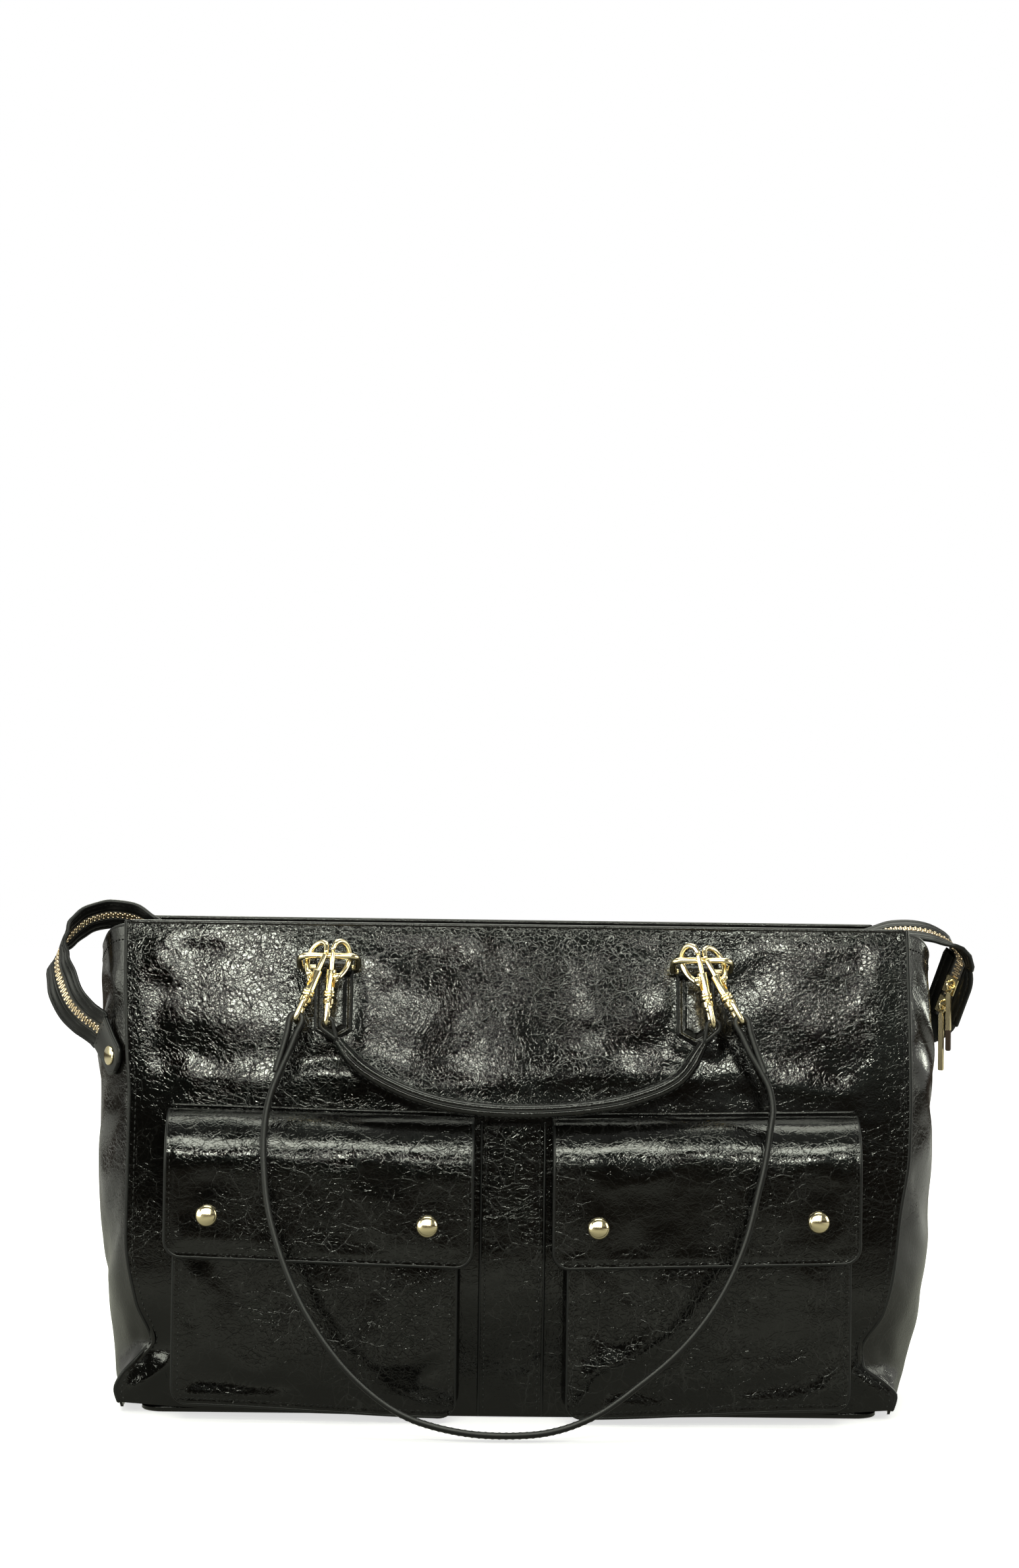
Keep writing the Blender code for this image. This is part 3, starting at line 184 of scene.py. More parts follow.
def points_at(x, y, z):
    """Points from coordinates, each of them a number or an array."""
    return np.stack(np.broadcast_arrays(x, y, z), -1)


def grid(rows, columns):
    return np.meshgrid(rows, columns, indexing="ij")


def strides(points):
    """Distances from each point to the next."""
    return np.linalg.norm(np.diff(np.asarray(points, float), axis=0), axis=1)


def distance_run(points):
    """Distance along the path at each of its points."""
    return np.concatenate([[0], np.cumsum(strides(points))])


def at_run(run, table, place):
    """A row of a table of triples, read at a distance along its path."""
    return np.array([np.interp(place, run, table[:, k]) for k in range(3)])


def even(points, count):
    """count points at equal steps along a polyline."""
    points = np.asarray(points, float)
    run = distance_run(points)
    wanted = np.linspace(0, run[-1], count)
    return np.stack([np.interp(wanted, run, points[:, k]) for k in range(points.shape[1])], 1)


def along(points, count):
    """count points evenly spaced on a Catmull-Rom curve through the control points."""
    points = np.asarray(points, float)
    chord = np.maximum(strides(points), 1e-9)
    slope = np.zeros_like(points)
    slope[0] = (points[1] - points[0]) / chord[0]
    slope[-1] = (points[-1] - points[-2]) / chord[-1]
    for i in range(1, len(points) - 1):
        before, after = chord[i - 1], chord[i]
        incoming = (points[i] - points[i - 1]) / before * after
        outgoing = (points[i + 1] - points[i]) / after * before
        slope[i] = (incoming + outgoing) / (before + after)
    fine = []
    for i in range(len(points) - 1):
        step = np.linspace(0, 1, 25)[: 25 if i == len(points) - 2 else 24, None]
        ends = points[i], points[i + 1], slope[i], slope[i + 1]
        fine.append(hermite(step, chord[i], *ends))
    return even(np.concatenate(fine), count)


def tangents(path, closed=False):
    path = np.asarray(path, float)
    if closed:
        return units(np.roll(path, -1, 0) - np.roll(path, 1, 0))
    return units(np.gradient(path, axis=0))


def rounded_box(half_wide, low, high, low_round, high_round, steps):
    """Flat outline of a box with rounded corners, anticlockwise from its right upper corner."""
    corners = [
        (1, high - high_round, high_round),
        (-1, high - high_round, high_round),
        (-1, low + low_round, low_round),
        (1, low + low_round, low_round),
    ]
    points = []
    for i, (sign, level, radius) in enumerate(corners):
        for k in range(steps + 1):
            angle = math.radians(90 * i + 90 * k / steps)
            x = sign * (half_wide - radius) + radius * math.cos(angle)
            points.append([x, level + radius * math.sin(angle)])
    return np.array(points)


def corner_cut(distance, radius):
    """How far a rounded corner cuts in at this distance from the side."""
    curve = np.sqrt(np.clip(radius * radius - (radius - distance) ** 2, 0, None))
    return np.where(distance < radius, radius - curve, 0)


def hem(left, right, floor_at, top, radius, rise, margin, counts):
    """Down one side from top, round a corner, along the floor and up the other side.

    rise is the sign of the way from floor to top; counts are for sides, corners and floor.
    """
    side_count, corner_count, floor_count = counts
    left_floor, right_floor = floor_at(left), floor_at(right)
    points = [(left, y) for y in np.linspace(top, left_floor + rise * radius, side_count)]
    for angle in np.linspace(0.15, math.pi / 2, corner_count):
        x = left + radius - radius * math.cos(angle)
        points.append((x, left_floor + rise * (radius - radius * math.sin(angle))))
    for x in np.linspace(left + radius + margin, right - radius - margin, floor_count):
        points.append((x, floor_at(x)))
    for angle in np.linspace(0, math.pi / 2 - 0.15, corner_count):
        x = right - radius + radius * math.sin(angle)
        points.append((x, right_floor + rise * (radius - radius * math.cos(angle))))
    return points + [(right, y) for y in np.linspace(right_floor + rise * radius, top, side_count)]


def both_faces(upper):
    """An outline of (place, height) followed by its mirror image below."""
    return upper + [(place, -height) for place, height in upper[::-1]]


# ---------------------------------------------------------------- noise


def lattice(points, size, seed):
    """Smooth noise between -1 and 1 with features of this size, the same on every run."""
    places = np.asarray(points, float) / size + 1000.0
    cell = np.floor(places).astype(np.int64)
    part = places - cell
    part = part * part * part * (part * (part * 6 - 15) + 10)
    total = np.zeros(places.shape[:-1])
    for corner in np.ndindex(2, 2, 2):
        code, weight = seed * 2654435761, 1.0
        for axis, prime in enumerate((73856093, 19349663, 83492791)):
            code = code ^ (cell[..., axis] + corner[axis]) * prime
            weight = weight * (part[..., axis] if corner[axis] else 1 - part[..., axis])
        code = (code ^ (code >> 13)) * 1274126177 & 0x7FFFFFFF
        code = (code ^ (code >> 16)) & 0xFFFF
        total += weight * (code / 32767.5 - 1)
    return total


def waves(points, seed, *layers):
    """Noise summed from layers of (height, size), each with the next seed."""
    return sum(
        height * lattice(points, size, seed + i) for i, (height, size) in enumerate(layers)
    )


def creases(points, size, seed):
    """Ridged noise: thin soft ridges, up to 1, between broad cells."""
    fine = 0.5 * lattice(points, size * 0.5, seed + 7)
    return 1 - np.abs(lattice(points, size, seed) + fine) * 1.6


# ---------------------------------------------------------------- closed shapes


def slab(near, far):
    """A closed sheet between two grids of points."""
    near, far = np.asarray(near, float), np.asarray(far, float)
    rows, columns = near.shape[:2]
    verts = np.concatenate([near.reshape(-1, 3), far.reshape(-1, 3)])
    i, j = grid(np.arange(rows - 1), np.arange(columns - 1))
    first = (i * columns + j).ravel()
    quads = np.stack([first, first + columns, first + columns + 1, first + 1], 1)
    back = rows * columns
    faces = quads.tolist() + (quads[:, ::-1] + back).tolist()
    for i in range(rows - 1):
        low, high = i * columns, i * columns + columns - 1
        faces.append([low, back + low, back + low + columns, low + columns])
        faces.append([high, high + columns, back + high + columns, back + high])
    for j in range(columns - 1):
        low, high = j, (rows - 1) * columns + j
        faces.append([low, low + 1, back + low + 1, back + low])
        faces.append([high, back + high, back + high + 1, high + 1])
    return verts, faces


def loft(sections, closed=False):
    """A skin over a row of equal-sized rings, with end caps unless the row closes on itself."""
    sections = np.asarray(sections, float)
    count, size = sections.shape[:2]
    i, j = grid(np.arange(count if closed else count - 1), np.arange(size))
    i, j = i.ravel(), j.ravel()
    here, there, turn = i * size, (i + 1) % count * size, (j + 1) % size
    faces = np.stack([here + j, here + turn, there + turn, there + j], 1).tolist()
    if not closed:
        faces.append(list(range(size))[::-1])
        faces.append([(count - 1) * size + k for k in range(size)])
    return sections.reshape(-1, 3), faces


def cross_directions(path, closed, normal):
    """Two directions square to a path: carried along it without twist, or from given normals."""
    way = tangents(path, closed)
    if normal is not None:
        across = units(np.cross(normal, way))
    else:
        rows = [unit(np.cross(way[0], [0.3, 0.2, 1.0]))]
        for step in way[1:]:
            rows.append(unit(rows[-1] - (rows[-1] @ step) * step))
        across = np.array(rows)
    return across, np.cross(way, across)


def tube(path, radius, sides, closed=False, normal=None, flat=1.0):
    """A round cord with rounded ends. flat scales it along its second direction."""
    path = np.asarray(path, float)
    radius = np.broadcast_to(np.asarray(radius, float), (len(path),))
    if not closed:
        way = tangents(path)
        reach = np.array([1.0, 0.87, 0.5])[:, None]
        shrink = np.sqrt(np.maximum(1 - reach * reach, 0.0016))[:, 0]
        head = path[0] - way[0] * radius[0] * reach
        tail = path[-1] + way[-1] * radius[-1] * reach[::-1]
        path = np.concatenate([head, path, tail])
        radius = np.concatenate([radius[0] * shrink, radius, radius[-1] * shrink[::-1]])
        if normal is not None and np.ndim(normal) == 2:
            normal = np.concatenate([[normal[0]] * 3, normal, [normal[-1]] * 3])
    across, other = cross_directions(path, closed, normal)
    angle = 2 * math.pi * np.arange(sides) / sides
    wide = np.cos(angle)[None, :, None] * across[:, None]
    high = flat * np.sin(angle)[None, :, None] * other[:, None]
    return loft(path[:, None] + radius[:, None, None] * (wide + high), closed)


def axis_frame(axis):
    """The axis at length 1, and two directions square to it."""
    axis = unit(axis)
    side = unit(np.cross(axis, [0, 0, 1] if abs(axis[2]) < 0.9 else [1, 0, 0]))
    return axis, side, np.cross(axis, side)


def turned(profile, centre, axis, sides):
    """A solid turned from (radius, distance along the axis), a zero radius making a point."""
    axis, side, other = axis_frame(axis)
    centre = np.asarray(centre, float)
    verts, faces, rings = [], [], []
    for radius, height in profile:
        if radius <= 1e-9:
            rings.append([len(verts)])
            verts.append(centre + height * axis)
            continue
        rings.append(list(range(len(verts), len(verts) + sides)))
        for angle in 2 * math.pi * (np.arange(sides) + 0.5) / sides:
            outward = math.cos(angle) * side + math.sin(angle) * other
            verts.append(centre + height * axis + radius * outward)
    for low, high in zip(rings, rings[1:]):
        for j in range(sides):
            k = (j + 1) % sides
            if len(low) == 1 and len(high) > 1:
                faces.append([low[0], high[j], high[k]])
            elif len(high) == 1 and len(low) > 1:
                faces.append([low[j], low[k], high[0]])
            elif len(low) > 1:
                faces.append([low[j], low[k], high[k], high[j]])
    return verts, faces


def turned_ring(profile, centre, axis, sides):
    """A ring turned from a closed outline of (radius, distance along the axis)."""
    axis, side, other = axis_frame(axis)
    centre = np.asarray(centre, float)
    around = [
        math.cos(angle) * side + math.sin(angle) * other
        for angle in 2 * math.pi * np.arange(sides) / sides
    ]
    rows = [[centre + height * axis + radius * way for way in around] for radius, height in profile]
    return loft(rows, closed=True)


def bar(start, axes, stations, chamfer):
    """A bar with cut corners through stations of (distance, half width, half height)."""
    ahead, across, upward = axes
    rows = []
    for distance, wide, high in stations:
        cut = min(chamfer, wide * 0.9, high * 0.9)
        right = [(wide, high - cut), (wide - cut, high)]
        upper = right + [(-x, y) for x, y in right[::-1]]
        section = upper + [(x, -y) for x, y in upper[::-1]]
        rows.append([start + distance * ahead + x * across + y * upward for x, y in section])
    return loft(rows)


def soft_block(centre, axes, half, chamfer):
    """A block with all its edges cut back by the chamfer."""
    long, wide, high = half
    stations = [
        (-long, wide - chamfer, high - chamfer),
        (-long + chamfer, wide, high),
        (long - chamfer, wide, high),
        (long, wide - chamfer, high - chamfer),
    ]
    return bar(np.asarray(centre, float), [unit(axis) for axis in axes], stations, chamfer)


def placed(name, data):
    obj = bpy.data.objects.new(name, data)
    bpy.context.scene.collection.objects.link(obj)
    return obj


def solid_mesh(name, shape, materials=(), slots=()):
    """A mesh from a closed shape, its faces turned outwards."""
    verts, faces = shape
    mesh = bpy.data.meshes.new(name)
    mesh.from_pydata((np.asarray(verts, float) * MM).tolist(), [], faces)
    for material in materials:
        mesh.materials.append(material)
    if slots:
        mesh.polygons.foreach_set("material_index", slots)
    bm = bmesh.new()
    bm.from_mesh(mesh)
    bmesh.ops.recalc_face_normals(bm, faces=bm.faces)
    bm.to_mesh(mesh)
    bm.free()
    return mesh


def carved(shape, tool):
    """A closed shape with another cut out of it."""
    body, cutter = (placed("carving", solid_mesh("carving", part)) for part in (shape, tool))
    modifier = body.modifiers.new("cut", "BOOLEAN")
    modifier.operation = "DIFFERENCE"
    modifier.solver = "EXACT"
    modifier.object = cutter
    bpy.context.view_layer.update()
    evaluated = body.evaluated_get(bpy.context.evaluated_depsgraph_get())
    result = bpy.data.meshes.new_from_object(evaluated)
    verts = np.array([vert.co[:] for vert in result.vertices]) / MM
    faces = [list(face.vertices) for face in result.polygons]
    for obj in (body, cutter):
        bpy.data.objects.remove(obj)
    # a failed cut leaves next to nothing, and then the uncut shape stands in
    return (verts, faces) if len(faces) > 5 else shape


RIM_SLOT, THREAD_SLOT = 1, 2


class Piece:
    """A mesh gathered from closed shapes, each with its own material slot."""

    def __init__(self):
        self.verts, self.faces, self.slots, self.count = [], [], [], 0

    def add(self, shape, slot=0):
        """Adds a shape. slot is one for all its faces, or a list with one for each."""
        verts, faces = shape
        self.verts.append(np.asarray(verts, float))
        self.faces += [[i + self.count for i in face] for face in faces]
        self.slots += slot if isinstance(slot, list) else [slot] * len(faces)
        self.count += len(verts)
        return self

    def rim(self, path, radius, sides, **options):
        """A bead of edge paint along a path."""
        self.add(tube(path, radius, sides, **options), RIM_SLOT)

    def sew(self, path, normals, slot=THREAD_SLOT, pitch=3.4, size=2.5, width=0.42,
            height=0.34, sink=0.12):
        """A row of stitches: each is a short arched bead that dips into its holes."""
        path = np.asarray(path, float)
        normals = np.broadcast_to(np.asarray(normals, float), path.shape)
        total = strides(path).sum()
        run = distance_run(path)
        count = max(1, int(total / pitch))
        angles = 2 * math.pi * np.arange(6) / 6
        verts, faces = [], []
        for middle in (np.arange(count) + 0.5) * total / count:
            spot = at_run(run, path, middle)
            normal = unit(at_run(run, normals, middle))
            way = unit(at_run(run, path, middle + 0.6) - at_run(run, path, middle - 0.6))
            way = unit(way - (way @ normal) * normal)
            across = np.cross(normal, way)
            base = len(verts)
            verts.append(spot - way * size / 2 - normal * sink * 2)
            for step, swell in ((-0.38, 0.75), (-0.12, 1.0), (0.12, 1.0), (0.38, 0.75)):
                lift = height * 0.55 * (1 - (2 * step) ** 2) - sink
                for angle in angles:
                    sideways = across * width * swell * math.cos(angle)
                    upward = normal * (lift + height * swell * 0.8 * math.sin(angle))
                    verts.append(spot + way * step * size + sideways + upward)
            verts.append(spot + way * size / 2 - normal * sink * 2)
            for j in range(6):
                k = (j + 1) % 6
                faces.append([base, base + 1 + j, base + 1 + k])
                for ring in range(3):
                    first = base + 1 + ring * 6
                    faces.append([first + j, first + 6 + j, first + 6 + k, first + k])
                faces.append([base + 19 + j, base + 25, base + 19 + k])
        self.add((verts, faces), slot)

    def make(self, name, materials, body, slot, replaces=None, angle=50):
        """Makes the object, riding on a body of the frame."""
        shape = np.concatenate(self.verts), self.faces
        mesh = solid_mesh(name, shape, materials, self.slots)
        mesh.shade_smooth()
        mesh.set_sharp_from_angle(angle=math.radians(angle))
        obj = placed(name, mesh)
        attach(obj, body)
        if replaces:
            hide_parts(replaces)
        return obj


CLOTH_SCALE = 10  # the cloth runs enlarged, where the solver's limits on small lengths don't matter
CLOTH_FRAMES = 24


def run_cloth(start, held, grow):
    """The grid of points after it has moved as cloth, held where held is 1."""
    rows, columns = held.shape
    faces = []
    for i in range(rows - 1):
        for j in range(columns - 1):
            first, above = i * columns + j, (i + 1) * columns + j
            faces.append((first, first + 1, above + 1, above))
    mesh = bpy.data.meshes.new("cloth")
    mesh.from_pydata((start.reshape(-1, 3) * MM * CLOTH_SCALE).tolist(), [], faces)
    obj = placed("cloth", mesh)
    group = obj.vertex_groups.new(name="hold")
    for i, weight in enumerate(held.reshape(-1)):
        group.add([i], float(weight), "REPLACE")
    cloth = obj.modifiers.new("settle", "CLOTH")
    settings = cloth.settings
    settings.quality = 7
    settings.mass = 0.3
    settings.tension_stiffness = settings.compression_stiffness = 30
    settings.shear_stiffness = 12
    settings.bending_stiffness = 1.2
    settings.air_damping = 2.0
    settings.vertex_group_mass = "hold"
    settings.pin_stiffness = 1.0
    settings.shrink_min = -grow
    settings.effector_weights.gravity = 0.4
    cloth.collision_settings.use_collision = False
    cloth.collision_settings.use_self_collision = False
    cloth.point_cache.frame_start, cloth.point_cache.frame_end = 1, CLOTH_FRAMES + 1
    scene = bpy.context.scene
    for number in range(1, CLOTH_FRAMES + 1):
        scene.frame_set(number)
    made = obj.evaluated_get(bpy.context.evaluated_depsgraph_get())
    after = np.array([vert.co[:] for vert in made.data.vertices])
    after = after.reshape(rows, columns, 3) / MM / CLOTH_SCALE
    bpy.data.objects.remove(obj)
    bpy.data.meshes.remove(mesh)
    scene.frame_set(1)
    return after


def settled(sheet, hold, cap, grow, step=2):
    """Lets a sheet of leather find its own folds.

    It runs as cloth held at its seams, a little larger than the space it fills, on every
    step-th point of the grid. No point moves further than cap.
    """
    picked = [np.unique(np.r_[0:size:step, size - 1]) for size in sheet.shape[:2]]
    start = sheet[np.ix_(*picked)]
    after = run_cloth(start, np.clip(hold[np.ix_(*picked)], 0, 1), grow)
    move = np.nan_to_num(after - start)
    size = np.linalg.norm(move, axis=-1, keepdims=True)
    move *= cap * np.tanh(size / cap) / np.maximum(size, 1e-9)
    for axis in (0, 1):
        wanted = np.arange(sheet.shape[axis])
        move = np.apply_along_axis(
            lambda line: np.interp(wanted, picked[axis], line), axis, move
        )
    # rounded between the cloth's own points, so that no facet shows in the gloss
    for _ in range(2 * step):
        move[1:-1] = 0.25 * move[:-2] + 0.5 * move[1:-1] + 0.25 * move[2:]
        move[:, 1:-1] = 0.25 * move[:, :-2] + 0.5 * move[:, 1:-1] + 0.25 * move[:, 2:]
    return sheet + move * (1 - np.clip(hold, 0, 1))[..., None]


# ---------------------------------------------------------------- materials


class Nodes:
    """The node tree of a material or world. Most methods add a node and return its output."""

    def __init__(self, owner):
        owner.use_nodes = True
        self.owner = owner
        self.tree = owner.node_tree

    def feed(self, node, inputs):
        """Links or sets the node's inputs, given by name or number."""
        for key, value in inputs.items():
            if isinstance(value, bpy.types.NodeSocket):
                self.tree.links.new(value, node.inputs[key])
            else:
                node.inputs[key].default_value = value

    def add(self, kind, inputs=None, **settings):
        """Adds a node and returns the node itself."""
        node = self.tree.nodes.new("ShaderNode" + kind)
        for key, value in settings.items():
            setattr(node, key, value)
        self.feed(node, inputs or {})
        return node

    def coords(self, kind="Object"):
        return self.add("TexCoord").outputs[kind]

    def math(self, operation, *values, clamp=False):
        node = self.add("Math", dict(enumerate(values)), operation=operation, use_clamp=clamp)
        return node.outputs[0]

    def times(self, first, second, clamp=False):
        return self.math("MULTIPLY", first, second, clamp=clamp)

    def times_plus(self, value, factor, plus):
        return self.math("MULTIPLY_ADD", value, factor, plus)

    def vector(self, operation, inputs):
        return self.add("VectorMath", inputs, operation=operation).outputs

    def split(self, vector):
        return self.add("SeparateXYZ", {0: vector}).outputs

    def noise(self, vector, scale, detail=2.0, rough=0.5, output="Fac"):
        inputs = {"Scale": scale, "Detail": detail, "Roughness": rough, "Vector": vector}
        return self.add("TexNoise", inputs).outputs[output]

    def mapped(self, value, start, end, first=0.0, last=1.0):
        """The value eased from first at start to last at end."""
        inputs = {0: value, 1: start, 2: end, 3: first, 4: last}
        return self.add("MapRange", inputs, interpolation_type="SMOOTHSTEP").outputs[0]

    def mix(self, factor, first, second):
        """A colour between two, each of them an output or a tint."""
        first, second = (
            (*colour, 1) if isinstance(colour, tuple) else colour for colour in (first, second)
        )
        inputs = {"A": first, "B": second, "Factor": factor}
        return self.add("Mix", inputs, data_type="RGBA").outputs["Result"]

    def colour_ramp(self, value, stops):
        """A colour read from stops of (place, tint) in rising order."""
        node = self.add("ValToRGB", {0: value})
        elements = node.color_ramp.elements
        for element, (place, tint) in zip(elements, (stops[0], stops[-1])):
            element.position = place
            element.color = (*tint, 1)
        for place, tint in stops[1:-1]:
            elements.new(place).color = (*tint, 1)
        return node.outputs["Color"]

    def bump(self, height):
        """Normals from a height in metres."""
        inputs = {"Distance": 1.0, "Strength": 1.0, "Height": height}
        return self.add("Bump", inputs).outputs["Normal"]

    def warped(self, size, scale):
        """Object coordinates, plain and pushed about by noise of this size in metres."""
        coords = self.coords()
        push = self.noise(coords, scale, detail=3.0, output="Color")
        centred = self.vector("SUBTRACT", {0: push, 1: (0.5, 0.5, 0.5)})[0]
        grown = self.vector("SCALE", {0: centred, "Scale": size})[0]
        return coords, self.vector("ADD", {0: coords, 1: grown})[0]

    def cell_lines(self, vector, scale, width):
        """Thin lines between cells, 1 on a line."""
        inputs = {"Scale": scale, "Vector": vector}
        cells = self.add("TexVoronoi", inputs, feature="DISTANCE_TO_EDGE")
        return self.mapped(cells.outputs["Distance"], 0.0, width, first=1.0, last=0.0)

    def seen_and_reflected(self, seen, reflected):
        """A shader that looks one way to the camera and another to everything else."""
        camera_ray = self.add("LightPath").outputs["Is Camera Ray"]
        return self.add("MixShader", {0: camera_ray, 1: reflected, 2: seen}).outputs[0]


class Surface(Nodes):
    """A material's nodes, built round its Principled shader."""

    def __init__(self, name):
        super().__init__(bpy.data.materials.new(name))
        self.shader = self.tree.nodes["Principled BSDF"]

    def finish(self, inputs):
        self.feed(self.shader, inputs)
        return self.owner


def scaled(tint, factor):
    return tuple(part * factor for part in tint)


def patent(name, tint, crack=1.0, rough=0.062, crumple=1.0):
    """Crinkled patent leather: a glossy film in small cells, crossed by broken thin cracks."""
    nodes = Surface(name)
    coords, bent = nodes.warped(size=0.010, scale=55)
    patches = nodes.noise(coords, scale=14, detail=3.0)
    broken = nodes.noise(coords, scale=70, detail=3.0, rough=0.6)
    wide = nodes.cell_lines(bent, scale=82, width=0.030)
    fine = nodes.cell_lines(bent, scale=190, width=0.060)
    tiny = nodes.cell_lines(bent, scale=430, width=0.11)
    keep_wide = nodes.mapped(broken, start=0.44, end=0.52)
    keep_fine = nodes.mapped(broken, start=0.40, end=0.60)
    zone = nodes.mapped(patches, start=0.38, end=0.60, first=0.32, last=1.0)
    # cracks: whole wide lines, fainter fine ones, both broken up by zone
    wide_cracks = nodes.times(wide, keep_wide)
    fine_cracks = nodes.times(nodes.times(fine, keep_fine), 0.7)
    cracks = nodes.times(nodes.math("MAXIMUM", wide_cracks, fine_cracks), zone)
    # valleys between the cells, shallower as the cells get smaller
    valleys = nodes.math("MAXIMUM", fine, nodes.times(tiny, 0.45))
    valleys = nodes.math("MAXIMUM", nodes.times(wide, 0.7), valleys)
    lump = nodes.noise(bent, scale=380, detail=3.0, rough=0.62)
    grain = nodes.noise(coords, scale=1300, rough=0.6)
    # the cracks are painted paler: partly the crazed film's own faint tone, partly a painted
    # highlight standing in for the glints the cracks catch
    pale = tuple(min(1, 0.022 + part * 1.5) for part in tint)
    colour = nodes.mix(nodes.times(cracks, 0.7 * crack, clamp=True), tint, pale)
    # rougher by patch and on the cracks
    gloss = nodes.times_plus(patches, 0.06, rough - 0.03)
    gloss = nodes.times_plus(cracks, 0.12, gloss)
    # heights in metres: the film's crumples, its valleys, the lips of the cracks, the grain
    height = nodes.times(lump, 0.00010 * crumple)
    height = nodes.times_plus(nodes.times(valleys, zone), -0.000085 * crumple, height)
    height = nodes.times_plus(cracks, 0.00014 * crack, height)
    height = nodes.times_plus(grain, 0.000012, height)
    return nodes.finish({
        "Base Color": colour,
        "Roughness": gloss,
        "Specular IOR Level": 0.6,
        "Normal": nodes.bump(height),
    })


def satin(name, tint, rough, grain=0.00001):
    """Smooth leather or edge paint, slightly uneven, with grain of this height in metres."""
    nodes = Surface(name)
    coords, bent = nodes.warped(size=0.003, scale=120)
    patches = nodes.noise(coords, scale=60, detail=3.0)
    pores = nodes.noise(bent, scale=1500, rough=0.6)
    folds = nodes.noise(bent, scale=300)
    return nodes.finish({
        "Base Color": nodes.mix(patches, scaled(tint, 0.75), scaled(tint, 1.3)),
        "Roughness": nodes.times_plus(patches, 0.14, rough - 0.07),
        "Normal": nodes.bump(nodes.times_plus(pores, grain, nodes.times(folds, grain * 3))),
    })


def metal(name, tint, rough):
    """Polished plating with faint smears and a very fine grain."""
    nodes = Surface(name)
    coords = nodes.coords()
    smear = nodes.noise(coords, scale=240, detail=3.0)
    fine = nodes.noise(coords, scale=2400)
    bright = tuple(min(1, part * 1.05) for part in tint)
    return nodes.finish({
        "Metallic": 1.0,
        "Base Color": nodes.mix(smear, scaled(tint, 0.93), bright),
        "Roughness": nodes.times_plus(smear, 0.1, rough - 0.05),
        "Normal": nodes.bump(nodes.times(fine, 0.000004)),
    })


def woven(name, tint, pitch=0.0006):
    """Plain woven cloth: warp and weft by two crossed waves, pitch in metres."""
    nodes = Surface(name)
    coords = nodes.coords()
    inputs = {"Scale": 0.314 / pitch, "Vector": coords}
    warp, weft = (
        nodes.add("TexWave", inputs, bands_direction=direction).outputs["Fac"]
        for direction in ("X", "Z")
    )
    weave = nodes.times(warp, weft)
    shade = nodes.noise(coords, scale=120, detail=3.0)
    factor = nodes.times_plus(weave, 0.6, nodes.times(shade, 0.4))
    return nodes.finish({
        "Base Color": nodes.mix(factor, scaled(tint, 0.6), scaled(tint, 1.2)),
        "Roughness": 0.85,
        "Sheen Weight": 0.3,
        "Normal": nodes.bump(nodes.times(weave, 0.00006)),
    })


BLACK = (0.0032, 0.0030, 0.0028)
WARM_BLACK = (0.0040, 0.0034, 0.0030)
PATENT = patent("patent_leather", BLACK)
PATENT_SOFT = patent("patent_gusset", WARM_BLACK, crack=0.7, rough=0.12, crumple=0.8)
PATENT_SMALL = patent("patent_trim", BLACK, crack=0.8, rough=0.12, crumple=0.55)
EDGE = satin("edge_paint", (0.0085, 0.0088, 0.0090), rough=0.34)
SATIN = satin("satin_leather", (0.0055, 0.0055, 0.0055), rough=0.36)
TAB_SATIN = satin("tab_leather", (0.021, 0.021, 0.021), rough=0.40)
THREAD = satin("thread", (0.007, 0.007, 0.007), rough=0.5, grain=0.00003)
GOLD = metal("gold_hardware", (0.93, 0.80, 0.50), rough=0.15)
TEETH = metal("zip_teeth_metal", (0.90, 0.73, 0.50), rough=0.24)
TAPE = woven("zip_tape_cloth", (0.010, 0.010, 0.010))
LINING = woven("lining_cloth", (0.05, 0.045, 0.04), pitch=0.0008)
BOARD = satin("base_board", (0.05, 0.042, 0.034), rough=0.7)
# painted shade: dark brown for the first pull's lower end, where the metal bar lies in shadow
PULL_PAINTED_SHADE = satin("pull_painted_shade", (0.030, 0.018, 0.011), rough=0.38)

# ---------------------------------------------------------------- front and back panels

depth_at = smooth(HALF_DEPTH)
edge_at = {-1: smooth(LEFT_EDGE), 1: smooth(RIGHT_EDGE)}
side_at = {-1: smooth(LEFT_GUSSET), 1: smooth(RIGHT_GUSSET)}


def panel_y(x, z):
    """Distance of a panel's smooth outer face from the bag's middle."""
    bulge = np.clip(1 - (np.asarray(x) / 218.0) ** 2, 0, None)
    return depth_at(z) + CROWN * bulge * np.sin(math.pi * np.clip(z, 0, BAG_HIGH) / BAG_HIGH)


def lifted(z, x):
    """The bottom corners of the front and back stand a little off the floor."""
    return z + 6.0 * np.abs(x / 215.0) ** 3 * np.clip(1 - z / 45.0, 0, 1)


def front_ledge(x, z, spots):
    """The ledge where the leather bends over the pockets, and the dip above it."""
    line = 186 + 3.0 * np.sin(x / 47.0) + 1.5 * np.sin(x / 19.0 + 1)
    shape = 0.5 * bell(z, line, 7.0) - 0.4 * bell(z, line + 16, 13.0)
    return shape * ramp(SEAM_X - np.abs(x), 4, 40) * (0.6 + 0.9 * lattice(spots, 45, 5))


